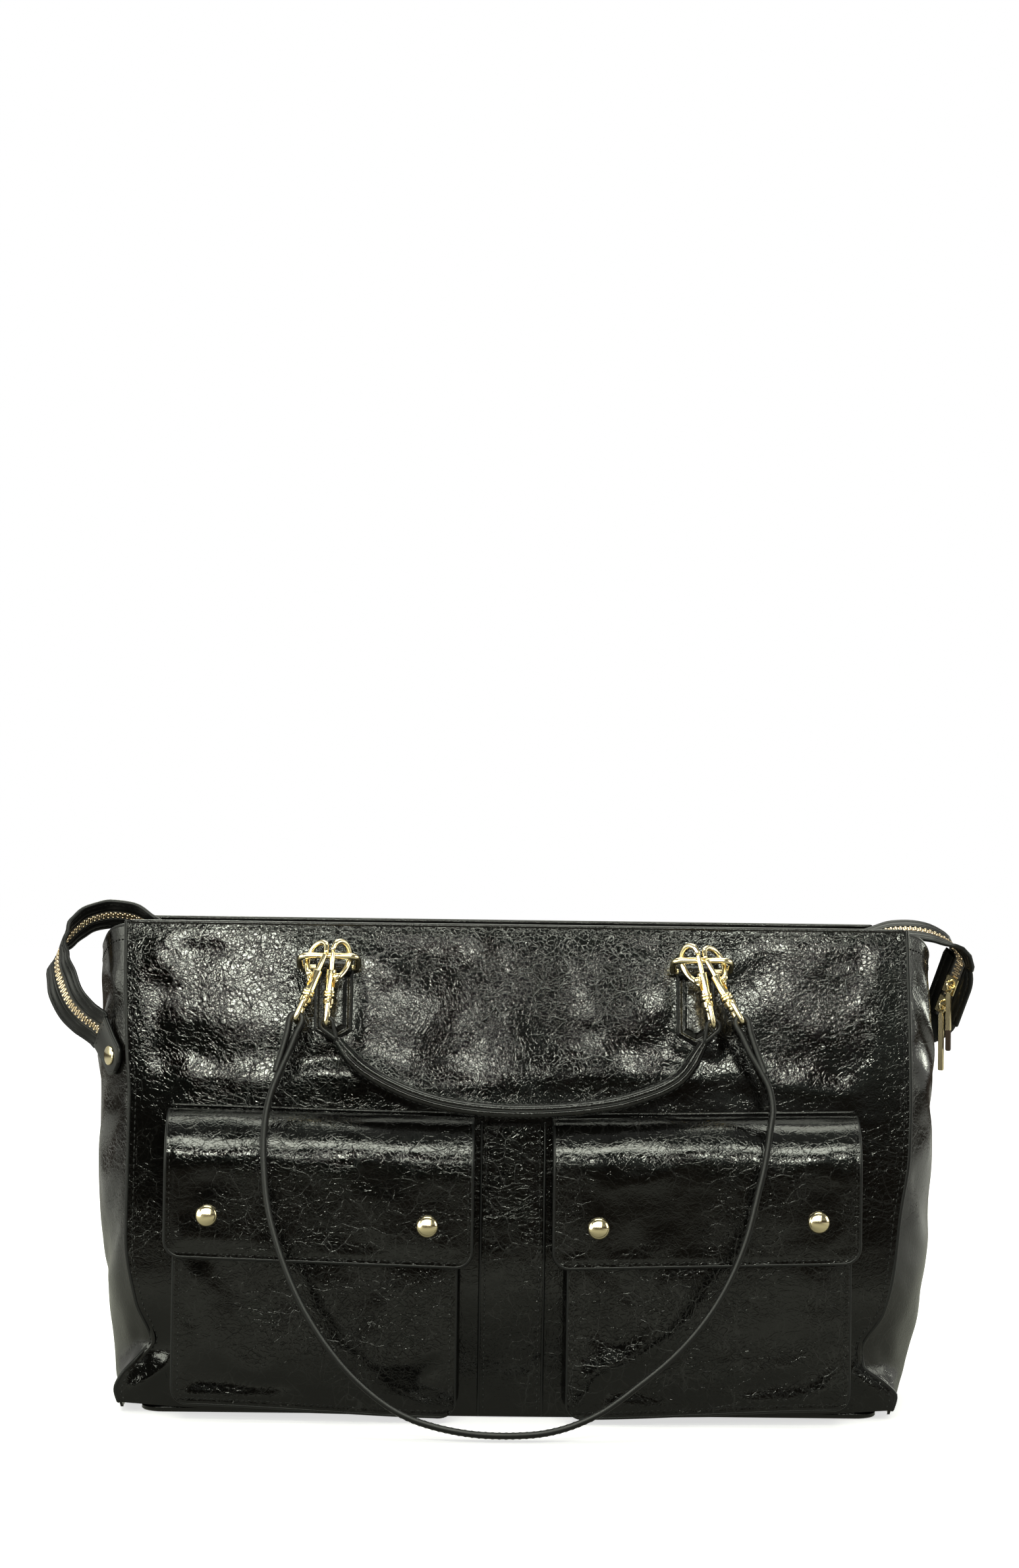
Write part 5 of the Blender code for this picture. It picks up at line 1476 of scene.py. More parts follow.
def pocket_bellows(side):
    """The gusset between front and bag, folding in halfway as a bellows does."""
    line = pocket_outline(POCKET_LIP + 0.4, 200)
    way = tangents(line)
    normal = np.stack([-way[:, 1], way[:, 0]], 1)
    middle = np.array([(POCKET_LEFT + POCKET_RIGHT) / 2, 60])
    normal *= np.sign(((line - middle) * normal).sum(1))[:, None]
    front = pocket_depth(line[:, 0], line[:, 1]) - 1.9
    upright = np.abs(normal[:, 0])
    outer, inner = [], []
    for part in np.linspace(0, 1, 12):
        fold = math.sin(math.pi * part)
        flare = (3.6 * upright + 0.6 * (1 - upright)) * (1 - part) ** 1.6
        flare = flare - 1.3 * fold * (0.4 + 0.6 * upright)
        ring = line + normal * flare[:, None]
        z = np.maximum(ring[:, 1], 3.4)
        back = panel_y(ring[:, 0], np.clip(z, 0, BAG_HIGH)) + 1.2
        y = back * (1 - part) + front * part
        wobble = 0.35 * lattice(points_at(side * ring[:, 0], y, z * 0.6), 17, 61) * fold
        ring = ring + normal * wobble[:, None]
        outer.append(points_at(side * ring[:, 0], -y, z))
        ring = ring - normal * 1.1
        inner.append(points_at(side * ring[:, 0], -y, np.maximum(ring[:, 1], 4.5)))
    return slab(np.array(outer), np.array(inner))


def pocket(name, side):
    outer = pocket_front(side)
    piece = Piece().add(slab(outer, outer + [0, 1.5, 0]))
    x, z = pocket_outline(3.6, 260).T
    seam = points_at(side * x, -(pocket_depth(x, z) - 0.3), z)
    piece.sew(seam[z < 139], [0, -1, 0], size=2.4, width=0.36)
    x, z = pocket_outline(0.5, 260).T
    piece.rim(points_at(side * x, -(pocket_depth(x, z) - 0.75) + 0.35, z), 1.0, 10)
    piece.add(pocket_bellows(side))
    piece.make(f"{name}_leather", [PATENT, EDGE, THREAD], "bag", "patent_leather", name)


for word, side in SIDES.items():
    pocket(f"{word}_pocket", side)

# ---------------------------------------------------------------- flaps

PROFILE = along(FLAP_PROFILE, 400)
PROFILE_RUN = distance_run(PROFILE)
PROFILE_WAY = units(np.gradient(PROFILE, axis=0))
FLAP_LONG = PROFILE_RUN[-1]


def across_flap(x, inner, outer):
    """A value that runs straight from the flap's inner side to its outer one."""
    return inner + (x - FLAP_IN) / (FLAP_OUT - FLAP_IN) * (outer - inner)


def flap_top(x):
    return across_flap(x, FLAP_Z_IN, FLAP_Z_OUT)


def flap_point(side, x, down, proud):
    """A point on a flap and its normal there.

    x is across it, down is along its bend, and proud is how far it stands off the outer face.
    """
    drop = across_flap(x, FLAP_DROP_IN, FLAP_DROP_OUT) / FULL_DROP
    depth, z = (np.interp(down, PROFILE_RUN, PROFILE[:, k]) for k in (0, 1))
    normal_z, fall = (np.interp(down, PROFILE_RUN, PROFILE_WAY[:, k]) for k in (0, 1))
    normal_out = -fall
    depth, z = depth + proud * normal_out, flap_top(x) + z * drop + proud * normal_z
    return points_at(side * x, -depth, z), points_at(0, -normal_out, normal_z)


def flap_border(side, inset, proud):
    """A line round a flap's free edges, and its normals."""
    radius = max(FLAP_ROUND - inset, 1.5)
    points = hem(
        FLAP_IN + inset, FLAP_OUT - inset, lambda x: FLAP_LONG - inset, top=4.0,
        radius=radius, rise=-1, margin=2, counts=(30, 8, 40),
    )
    x, down = even(np.array(points), 330).T
    return flap_point(side, x, down, proud)


def flap(side, word):
    across = np.linspace(0, 1, 85)
    across = 0.75 * across + 0.25 * (1 - np.cos(across * math.pi)) / 2
    downward, across = grid(np.linspace(0, 1, 70), across)
    x = FLAP_IN + across * (FLAP_OUT - FLAP_IN)
    from_side = np.minimum(x - FLAP_IN, FLAP_OUT - x)
    down = downward * (FLAP_LONG - corner_cut(from_side, FLAP_ROUND))
    near = np.minimum(from_side, FLAP_LONG - down)
    spots = points_at(side * x, -100, 165 - down)
    seed = 71 + side * 3
    wave = waves(spots, seed, (0.75, 52), (0.4, 20), (0.12, 8))
    wave = wave + 0.28 * (creases(spots, 33, seed + 4) - 0.5)
    for stud_x, stud_z in STUDS.values():
        wave -= 0.5 * bell(np.hypot(x - stud_x, (165 - down) - stud_z), 0, 9)
    relief = wave * ramp(near, 2.5, 12) * ramp(down, 2, 14) - 0.32 * bell(near, 2.4, 0.7)
    relief = np.clip(relief, -1.1, 1.2)
    outer, _ = flap_point(side, x, down, relief)
    inner, _ = flap_point(side, x, down, -1.9 + 0.4 * np.clip(relief, -1, 0))
    sheet = slab(outer, inner)
    hole = [(0, 95), (3.4, 95), (3.4, 120), (0, 120)]
    for stud_x, stud_z in STUDS.values():
        sheet = carved(sheet, turned(hole, [side * stud_x, 0, stud_z], [0, -1, 0], 32))
    piece = Piece().add(sheet)
    path, normals = flap_border(side, 2.4, proud=-0.28)
    piece.sew(path, normals, width=0.4)
    path, normals = flap_border(side, 0.35, proud=-1.0)
    piece.rim(path, 1.12, 10, normal=normals)
    body = f"{word}_flap"
    piece.make(f"{body}_leather", [PATENT, EDGE, THREAD], body, "patent_leather", body)


def stud(side, word, where):
    """A domed stud through the flap."""
    x, z = STUDS[where]
    depths, heights = np.array(FLAP_PROFILE[::-1]).T
    face = float(np.interp(z, (FLAP_Z_IN + FLAP_Z_OUT) / 2 + heights, depths))
    dome = [
        (0, face + 1.9), (2.4, face + 1.9), (2.4, face - FLAP_THICK - 0.1),
        (3.2, face - FLAP_THICK - 0.1), (3.2, face + 0.3), (5.55, face + 0.3),
        (5.9, face + 0.45), (6.0, face + 0.8),
    ]
    for angle in np.linspace(0.05, math.pi / 2 - 0.06, 14):
        dome.append((5.95 * math.cos(angle), face + 0.95 + 3.15 * math.sin(angle)))
    dome.append((0, face + 4.1))
    piece = Piece().add(turned(dome, [side * x, 0, z], [0, -1, 0], 56))
    piece.make(
        f"stud_{word}_{where}_dome", [GOLD], f"{word}_flap", "gold_hardware",
        f"stud_cap_{word}_{where}", angle=40,
    )


def flap_seam(side, word):
    """The welt that holds a flap to the bag."""
    x = np.linspace(FLAP_IN + 0.8, FLAP_OUT - 0.8, 60)
    z = flap_top(x) + 1.3
    welt = tube(points_at(side * x, -(panel_y(x, z) + 0.75), z), 0.8, 10)
    Piece().add(welt).make(f"{word}_flap_seam", [PATENT, THREAD], "bag", "patent_leather")


def recolour(name, material):
    """Gives one of the frame's own pieces a material."""
    materials = frame["nodes"][name].data.materials
    materials.clear()
    materials.append(material)


for word, side in SIDES.items():
    flap(side, word)
    for where in STUDS:
        stud(side, word, where)
    flap_seam(side, word)
for word in SIDES:
    for where in STUDS:
        recolour(f"stud_post_{word}_{where}", GOLD)
recolour("base_board", BOARD)

# ---------------------------------------------------------------- tabs and rings


def outline_distance(points, line):
    """Distance of flat points to a closed outline."""
    best = np.full(points.shape[:-1], 1e9)
    for start, end in zip(line, np.roll(line, -1, 0)):
        edge = end - start
        part = np.clip(((points - start) @ edge) / (edge @ edge), 0, 1)
        nearest = start + part[..., None] * edge
        best = np.minimum(best, np.linalg.norm(points - nearest, axis=-1))
    return best


def tab_sheet(side, way):
    """The tab's flat part, pointed at its lower end, with a groove near its edge."""
    upward, across = grid(np.linspace(0, 1, 64), np.linspace(-1, 1, 45))
    across = np.sign(across) * (1 - (1 - np.abs(across)) ** 1.15)
    x = side * TAB_X + TAB_HALF * across
    low = TAB_SHOULDER + (TAB_TIP - TAB_SHOULDER) * (1 - np.abs(across))
    z = low + upward * (TUBE_Z - low)
    line = np.array([
        (-TAB_HALF, TUBE_Z + 30), (-TAB_HALF, TAB_SHOULDER), (0, TAB_TIP),
        (TAB_HALF, TAB_SHOULDER), (TAB_HALF, TUBE_Z + 30),
    ])
    near = outline_distance(np.stack([TAB_HALF * across, z], -1), line)
    height = TAB_THICK - 0.15 - 0.9 * (1 - ramp(near, 0, 1.0)) - 0.55 * bell(near, 2.5, 0.75)
    height = height + 0.1 * lattice(points_at(x, way * 90, z), 7, 41) + 0.5 * ramp(near, 3.3, 5.5)
    height *= 1 - 0.25 * ramp(z, 236, 244)
    levels = (z - 6, z, np.minimum(z + 6, BAG_HIGH))
    base = np.maximum.reduce([panel_y(x, level) for level in levels]) + 0.5
    return slab(points_at(x, way * (base + height), z), points_at(x, way * (base - 0.4), z))


def tab(name, side, way):
    """A leather tab on the panel, ending above in the tube that carries a ring."""

    def on_panel(outline, lift):
        x, z = np.array(outline).T
        x = side * TAB_X + x
        return points_at(x, way * (panel_y(x, z) + 0.5 + lift), z)

    piece = Piece().add(tab_sheet(side, way))
    point = TAB_TIP - TAB_SHOULDER
    edge = [(-TAB_HALF + 0.3, TUBE_Z - 2)]
    edge += [(-TAB_HALF + 0.3, z) for z in np.linspace(TUBE_Z - 4, TAB_SHOULDER + 0.5, 12)]
    for part in (0.1, 0.5, 0.93):
        edge.append((-TAB_HALF * (1 - part) + 0.2, TAB_SHOULDER + point * part + 0.3))
    edge += [(-x, z) for x, z in edge[::-1]]
    piece.rim(on_panel(edge, TAB_THICK * 0.5), 1.0, 10)
    left, low = -TAB_HALF + 2.5, TAB_SHOULDER + 1.4
    seam = [(left, z) for z in np.linspace(TUBE_Z - 7, low, 12)]
    seam += [(left * (1 - part), low + point * part * 0.75) for part in (0.5, 1)]
    seam += [(-x, z) for x, z in seam[:-1][::-1]]
    thread = {"pitch": 3.0, "size": 2.1, "width": 0.34}
    piece.sew(on_panel(seam, TAB_THICK - 0.65), [0, way, 0.1], **thread)
    end = TAB_HALF - 0.05
    profile = [
        (TUBE_BORE, -end + 0.1), (TUBE_BORE + 0.4, -end), (TUBE_RADIUS - 0.5, -end),
        (TUBE_RADIUS - 0.1, -end + 0.4), (TUBE_RADIUS, -end + 0.9), (TUBE_RADIUS, -end + 1.7),
        (TUBE_RADIUS - 0.18, -end + 2.1), (TUBE_RADIUS, -end + 2.5),
    ]
    centre = [side * TAB_X, way * TUBE_Y, TUBE_Z]
    piece.add(turned_ring(both_faces(profile), centre, [1, 0, 0], 44))
    # the loop's seam at the foot of the tube
    y = way * (panel_y(side * TAB_X, 239.0) + 0.5 + TAB_THICK - 0.2)
    line = points_at(side * TAB_X + np.linspace(-6, 6, 9), y, 239.4)
    piece.sew(line, [0, way, 0.1], **thread)
    materials = [PATENT_SMALL, EDGE, THREAD]
    piece.make(f"{name}_leather", materials, "bag", "satin_leather", name)


def ring(name, side, way):
    """A rectangular wire ring that hangs out of the tab's tube."""
    out = np.array([0, way * math.cos(RING_TILT), math.sin(RING_TILT)])
    outline = rounded_box(
        RING_WIDE / 2 - RING_WIRE, 0, RING_REACH, low_round=3.0, high_round=5.0, steps=8
    )
    path = [
        np.array([side * RING_X + x, way * TUBE_Y, TUBE_Z]) + reach * out for x, reach in outline
    ]
    wire = tube(path, RING_WIRE, 20, closed=True, normal=np.cross(out, [1, 0, 0]))
    Piece().add(wire).make(f"{name}_wire", [GOLD], name, "gold_hardware", name)


for face, way in WAYS.items():
    for word, side in SIDES.items():
        tab(f"{face}_{word}_tab", side, way)
        ring(f"{face}_{word}_ring", side, way)

# ---------------------------------------------------------------- snap hooks

# turned parts along the shank: (radius, distance)
BARREL_PROFILE = [
    (0, 19), (1.74, 19), (1.75, 8.05), (2.0, 7.95), (2.5, 8.05), (2.7, 8.3), (2.7, 19.4),
    (2.85, 19.7), (3.35, 19.95), (3.5, 20.3), (3.5, 21.1), (3.3, 21.35), (3.0, 21.5),
    (3.3, 21.65), (3.5, 21.9), (3.5, 22.7), (3.2, 23.1), (1.5, 23.4), (1.5, 27.6),
    (2.4, 27.65), (2.6, 27.9), (2.6, 28.3), (2.35, 28.5), (2.6, 28.7), (2.6, 29.1),
    (2.2, 29.6), (1.2, 30), (0, 30),
]
BOLT_PROFILE = [
    (0, -2.3), (0.6, -2.3), (1.0, -2.1), (BOLT_RADIUS, -1.6), (BOLT_RADIUS, 13.5), (0, 13.6),
]
BOSS_PROFILE = [(1.9, 23.85), (2.9, 23.8), (3.3, 24.1), (3.3, 26.8), (2.9, 27.1), (1.9, 27.1)]
EYE_BORE = [(0, 20), (1.9, 20), (1.9, 30), (0, 30)]
# stem of the thumb knob, out from the bolt's middle
KNOB_STEM = [(0, 0.4), (0.7, 0.4), (0.7, 2.9), (1.15, 3.1), (1.4, 3.5), (1.3, 4.0), (0.95, 4.35)]
# middle line of the claw: (across from the ring's bar, along the shank)
CLAW_LINE = [
    (2.9, 14.2), (1.4, 12.8), (-2.8, 9.0), (-5.8, 4.0), (-6.4, -1.0), (-4.4, -5.6),
    (-0.2, -7.9), (4.0, -6.9), (SNAP_OFFSET, -3.4),
]
EYE_FOOT = 25.4


def hanging(way, tilt):
    """Down and out directions of a plane that hangs tilted from the rings."""
    down = np.array([0, way * math.sin(tilt), -math.cos(tilt)])
    out = np.array([0, way * math.cos(tilt), math.sin(tilt)])
    return down, out


def snap(name, side, way, bar_x, tilt, lean, barrel_in, carrier):
    """A bolt snap: a cast hook, a sliding bolt with a thumb knob, and a swivel eye.

    Returns the middle of the eye's far bar and the direction the snap hangs in.
    """
    down, out = hanging(way, tilt)
    outward = np.array([side, 0.0, 0.0])
    along_shank = math.cos(lean) * down + math.sin(lean) * outward
    inward = -math.cos(lean) * outward + math.sin(lean) * down
    across = inward if barrel_in else -inward
    to_shank = math.cos(SNAP_TURN) * across + math.sin(SNAP_TURN) * out
    normal = -math.sin(SNAP_TURN) * across + math.cos(SNAP_TURN) * out
    ring_bar = np.array([side * bar_x, way * BAR_Y, BAR_Z])
    shank = ring_bar + SNAP_OFFSET * to_shank

    hook = Piece()
    slot = soft_block(
        shank + 13.7 * along_shank + 3 * normal,
        (along_shank, to_shank, normal), (3.95, 0.98, 3.0), 0.1,
    )
    hook.add(carved(turned(BARREL_PROFILE, shank, along_shank, 36), slot))
    claw = along(CLAW_LINE, 60)
    thick = np.full(len(claw), CLAW_RADIUS)
    thick[-10:] *= 1 - 0.18 * ramp(np.arange(10), 0, 9)
    path = [ring_bar + x * to_shank + y * along_shank for x, y in claw]
    hook.add(tube(path, thick, 16, normal=normal))
    body = f"{name}_hook"
    hook.make(f"{name}_casting", [GOLD], body, "gold_hardware", body, angle=40)

    bolt = Piece().add(turned(BOLT_PROFILE, shank, along_shank, 28))
    ball = [
        (1.9 * math.sin(angle), 5.4 - 1.5 * math.cos(angle))
        for angle in np.linspace(0.65, math.pi - 0.05, 12)
    ]
    knob = KNOB_STEM + ball + [(0, 6.92)]
    bolt.add(turned(knob, shank + 11.7 * along_shank, normal, 28))
    body = f"{name}_bolt"
    bolt.make(f"{name}_plunger", [GOLD], body, "gold_hardware", body, angle=40)

    outline = rounded_box(
        EYE_HALF, EYE_FOOT, EYE_REACH, low_round=2.5, high_round=2.3, steps=6
    )
    # begins at the right lower corner
    outline = np.roll(outline, 7, axis=0)
    path = [shank + y * along_shank + x * out for x, y in outline]
    wire = tube(path, EYE_RADIUS, 16, closed=True, normal=inward)
    eye = Piece().add(carved(wire, turned(EYE_BORE, shank, along_shank, 32)))
    eye.add(turned_ring(BOSS_PROFILE, shank, along_shank, 36))
    eye.make(f"{name}_swivel_eye", [GOLD], carrier, "gold_hardware", f"{name}_eye", angle=40)
    return shank + EYE_REACH * along_shank, along_shank


# pairs of snaps: key, face, ring bar x, tilt, lean left and right (degrees), barrel inwards, carrier
SNAP_PAIRS = [
    ("long", "front", LONG_X, STRAP_TILT, (22, 28), True, "long_strap"),
    ("short", "front", SHORT_X, HANDLE_TILT, (4, 12), False, "front_handle"),
    ("back", "back", SHORT_X + 3, HANDLE_TILT, (8, 8), False, "back_handle"),
]
SNAP_EYES = {}
for kind, face, bar_x, tilt, leans, barrel_in, carrier in SNAP_PAIRS:
    for (word, side), lean in zip(SIDES.items(), leans):
        SNAP_EYES[kind, word] = snap(
            f"snap_{kind}_{word}", side, WAYS[face], bar_x, tilt,
            math.radians(lean), barrel_in, carrier,
        )

# ---------------------------------------------------------------- handles and strap

PLANE_OFFSET = SNAP_OFFSET * math.sin(SNAP_TURN)
RIBBON_EDGES = {0, 1, 2, 3, 4, 8, 9, 10, 11, 12}  # faces of a ribbon's section on its edges

# middle line of the long strap from left to right: (x, z)
STRAP_LINE = [
    (-133.6, 172), (-135.2, 155), (-134.4, 137), (-132, 119), (-127.6, 103), (-121.4, 86.5),
    (-111.6, 66.8), (-98.8, 48), (-80.5, 28.5), (-58, 13.2), (-31.5, 5.4), (-4, 3.2),
    (23, 5.8), (44, 13.6), (66.8, 29), (87, 45.5), (105.3, 66.5), (117.2, 86.5), (125.2, 106),
    (130.8, 126.5), (135, 143), (137.9, 159.2), (139.8, 176),
]
# middle lines of the handles between their ends: (x, z)
FRONT_HANDLE_LINE = [
    (-86.9, 195.1), (-63.7, 181.4), (-43.8, 174.6), (-13.7, 170.2),
    (7.3, 169.8), (35.9, 171.6), (64.8, 177), (90, 188.5),
]
BACK_HANDLE_LINE = [
    (-88, 195), (-64, 181.4), (-40, 174), (-14, 170.2),
    (14, 170.2), (40, 174), (64, 181.4), (88, 195),
]
# half of a handle's section, the other half being its opposite: (part of thickness, of width)
LOBE = [
    (0.03, -0.90), (0.10, -0.955), (0.24, -0.995), (0.48, -0.97), (0.72, -0.86),
    (0.88, -0.66), (0.97, -0.36), (1.0, 0), (0.97, 0.36), (0.88, 0.66), (0.72, 0.86),
    (0.48, 0.97), (0.24, 0.995), (0.10, 0.955), (0.03, 0.90),
]


def hanging_plane(way, tilt):
    """A function from (x, z) to the plane the strap or handle hangs in, and its out direction."""
    down, out = hanging(way, tilt)
    base = np.array([0, way * BAR_Y, BAR_Z]) + PLANE_OFFSET * out

    def on_plane(x, z):
        return np.array([x, 0, 0]) + base + (base[2] - z) / math.cos(tilt) * down

    return on_plane, out


def ribbon(path, half_thick, half_wide, out, closed=False):
    """A flat strap with rounded edges: its shape, and each face's slot, 1 on the edges."""
    side = units(np.cross(out, tangents(path, closed)))
    cut = 0.45 * half_thick
    corner = [
        (1.0, half_wide * 0.35), (1.0, half_wide - cut * 1.6), (0.86, half_wide - cut * 0.5),
        (0.5, half_wide),
    ]
    right = [(half_thick * part, y) for part, y in corner]
    # from the near edge round the far one
    right = [(x, -y) for x, y in right[::-1]] + right
    left = [(-x, y) for x, y in right[::-1]]
    section = left[5:] + right + left[:5]
    rows = [[point + x * way + y * out for x, y in section] for point, way in zip(path, side)]
    verts, faces = loft(np.array(rows), closed)
    caps = 0 if closed else 2
    slots = [int(i % len(section) in RIBBON_EDGES) for i in range(len(faces) - caps)]
    return (verts, faces), slots + [1] * caps


def strap_end(eye, axis, out, side):
    """The strap's end, folded round the eye: from the free tail to the run of the strap."""
    half = STRAP_THICK / 2
    radius, gap, tail = EYE_RADIUS + 0.35 + half, half + 0.2, 30
    across = unit(np.cross(out, axis))
    if across[0] * side < 0:
        across = -across
    bulge = gap + 0.45 * (radius - gap)
    places = [
        (tail, gap), (tail * 0.7, gap), (tail * 0.42, gap + 0.25),
        (radius * 1.75, bulge), (radius * 0.75, radius * 0.93),
    ]
    for angle in np.radians([15, 50, 90, 130, 165]):
        places.append((-radius * math.sin(angle), radius * math.cos(angle)))
    places += [
        (radius * 0.75, -radius * 0.93), (radius * 1.75, -bulge), (tail * 0.42, -gap - 0.25),
    ]
    return [eye + x * axis + y * across for x, y in places]


def long_strap():
    on_plane, out = hanging_plane(WAYS["front"], STRAP_TILT)
    middle = [on_plane(*place) for place in STRAP_LINE]
    head, foot = (
        strap_end(eye, unit(near - eye), out, side)
        for eye, near, side in (
            (SNAP_EYES["long", "left"][0], middle[0], -1),
            (SNAP_EYES["long", "right"][0], middle[-1], 1),
        )
    )
    between = along([head[-1]] + middle + [foot[-1]], 150)[1:-1]
    path = along(np.array(head + list(between[::3]) + foot[::-1]), 420)
    half = STRAP_THICK / 2
    piece = Piece().add(*ribbon(path, half - 0.03, STRAP_WIDE / 2, out))
    side = np.cross(out, tangents(path))
    sewn = slice(14, 405)
    for face in (-1, 1):
        for edge in (-1, 1):
            row = path + face * side * (half - 0.12) + edge * out * (STRAP_WIDE / 2 - 1.9)
            piece.sew(row[sewn], face * side[sewn], pitch=3.6, width=0.32, height=0.3)
    materials = [PATENT_SMALL, SATIN, THREAD]
    piece.make("long_strap_leather", materials, "long_strap", "satin_leather", "long_strap")


long_strap()


def handle_end(eye, snap_way, side):
    """Where a handle ends beside a snap's eye: (x, z)."""
    place = eye + 8.5 * unit(snap_way + np.array([-0.75 * side, 0, 0]))
    return float(place[0]), float(place[2])


def end_loop(eye, near, out):
    """The thin loop of leather from a handle's end round the snap's eye."""
    axis = unit(near - eye)
    across = unit(np.cross(out, axis))
    radius = EYE_RADIUS + 0.8 + LOOP_THICK / 2
    reach = np.linalg.norm(near - eye) + 1.2
    points = []
    for angle in np.linspace(0, 2 * math.pi, 49)[:-1]:
        cosine, sine = math.cos(angle), math.sin(angle)
        if cosine > 0.2:
            # drawn out and narrowed towards the handle
            part = (cosine - 0.2) / 0.8
            ahead = 0.2 * radius + part * (reach - 0.2 * radius)
            points.append(eye + ahead * axis + sine * radius * (1 - 0.72 * part) * across)
        else:
            points.append(eye + cosine * radius * axis + sine * radius * across)
    # evened out, so that the loop has no kink where its sides straighten
    path = even(points + points[:1], 61)[:-1]
    for _ in range(2):
        path = 0.25 * np.roll(path, 1, 0) + 0.5 * path + 0.25 * np.roll(path, -1, 0)
    return ribbon(path, LOOP_THICK / 2 - 0.1, LOOP_WIDE / 2 - 0.1, out, closed=True)


def handle(face, kind, middle):
    """A carrying handle: two padded layers sewn together, with a thin loop at each end."""
    on_plane, out = hanging_plane(WAYS[face], HANDLE_TILT)
    left, right = SNAP_EYES[kind, "left"], SNAP_EYES[kind, "right"]
    curve = [handle_end(*left, -1)] + middle + [handle_end(*right, 1)]
    path = along([on_plane(*place) for place in curve], 150)
    run = distance_run(path)
    from_end = np.minimum(run, run[-1] - run)
    # thinner and narrower towards both ends, then closed off
    ease = ramp(from_end, 0, 16.0)
    close = np.clip(from_end / 1.6, 0.25, 1)
    half_thick = (2.5 + (HANDLE_THICK / 2 - 2.5) * ease) * close
    half_wide = LOOP_WIDE / 2 + (HANDLE_WIDE / 2 - LOOP_WIDE / 2) * ease
    half_wide = half_wide * (0.6 + 0.4 * close)
    side = units(np.cross(out, tangents(path)))
    bumps = 1 + 0.016 * lattice(path, 14, 87)
    thick_way = (half_thick * bumps)[:, None] * side
    wide_way = half_wide[:, None] * out
    section = LOBE + [(-x, -y) for x, y in LOBE]
    rows = np.stack([path + x * thick_way + y * wide_way for x, y in section], 1)
    piece = Piece().add(loft(rows))
    for edge in (-1, 1):
        piece.rim((path + edge * 0.965 * wide_way)[8:-8], 0.42, 8)
    # stitches on the broad upper and lower faces, near both edges
    for layer in (-1, 1):
        for edge in (-1, 1):
            row = path + layer * side * half_thick[:, None] * 0.86 + edge * wide_way * 0.74
            normals = units(layer * side + 0.8 * edge * out)
            piece.sew(row[10:-10], normals[10:-10], pitch=3.6, size=2.4, width=0.34, height=0.3)
    for eye, near in ((left[0], path[0]), (right[0], path[-1])):
        piece.add(*end_loop(eye, near, out))
    name = f"{face}_handle"
    materials = [PATENT_SMALL, EDGE, THREAD]
    piece.make(f"{name}_leather", materials, name, "patent_leather", name)


handle("front", "short", FRONT_HANDLE_LINE)
handle("back", "back", BACK_HANDLE_LINE)

# ---------------------------------------------------------------- floor and room

# what the leather sees of the floor, a glow painted with light and shade: (0.4 x distance in metres,
# colour)
FLOOR_PAINTED_LIGHT_TONES = [
    # a painted contact shadow nearest the bag, then a painted pool of light, dimmer further off
    (0.08, (0.24, 0.245, 0.20)),
    (0.16, (0.44, 0.45, 0.37)),
    (0.27, (0.36, 0.365, 0.30)),
    (0.45, (0.10, 0.085, 0.062)),
    (1.0, (0.050, 0.040, 0.030)),
]
# what the leather sees of the room: (height from 0 straight down to 1 straight up, colour)
ROOM_TONES = [
    (0.0, (0.022, 0.022, 0.017)),
    (0.47, (0.045, 0.042, 0.032)),
    (0.52, (0.050, 0.036, 0.024)),
    (0.570, (0.050, 0.045, 0.036)),
    (0.602, (0.235, 0.243, 0.217)),
    (0.645, (0.25, 0.26, 0.232)),
    (0.685, (0.20, 0.207, 0.186)),
    (0.72, (0.13, 0.134, 0.122)),
    (0.82, (0.11, 0.113, 0.104)),
    (1.0, (0.30, 0.31, 0.285)),
]
FLOOR_HALF = 8  # metres


def floor_paper():
    """White paper to the camera; to the leather, a glow painted with light and shade: a painted
    contact shadow right by the bag, grey-green painted light nearby, dim brown further off.
    """
    nodes = Surface("floor_paper")
    distance = nodes.vector("LENGTH", {0: nodes.coords()})["Value"]
    nodes.finish({
        "Base Color": (0.8, 0.8, 0.8, 1),
        "Roughness": 0.75,
        "Specular IOR Level": 0.2,
        "Emission Color": (1, 1, 1, 1),
        # brighter away from the bag, so that it runs into the white backdrop
        "Emission Strength": nodes.mapped(distance, start=0.22, end=0.6, first=0.66),
    })
    tone = nodes.colour_ramp(nodes.times(distance, 0.4), FLOOR_PAINTED_LIGHT_TONES)
    # painted light: paler to the left and right, which the leather shows when it is seen from a
    # corner
    sideways = nodes.math("ABSOLUTE", nodes.split(nodes.coords())["X"])
    beside = nodes.mapped(sideways, start=0.36, end=0.70)
    near = nodes.mapped(distance, start=1.3, end=2.6, first=0.85, last=0.0)
    colour = nodes.mix(nodes.times(beside, near), tone, (0.62, 0.63, 0.56))
    glow = nodes.add("Emission", {"Color": colour}).outputs[0]
    shader = nodes.seen_and_reflected(nodes.shader.outputs[0], glow)
    nodes.feed(nodes.tree.nodes["Material Output"], {"Surface": shader})
    return nodes.owner


def floor():
    mesh = bpy.data.meshes.new("floor")
    corners = [(-1, -1), (1, -1), (1, 1), (-1, 1)]
    verts = [(x * FLOOR_HALF, y * FLOOR_HALF, 0) for x, y in corners]
    mesh.from_pydata(verts, [], [(0, 1, 2, 3)])
    mesh.materials.append(floor_paper())
    placed("floor", mesh)


floor()


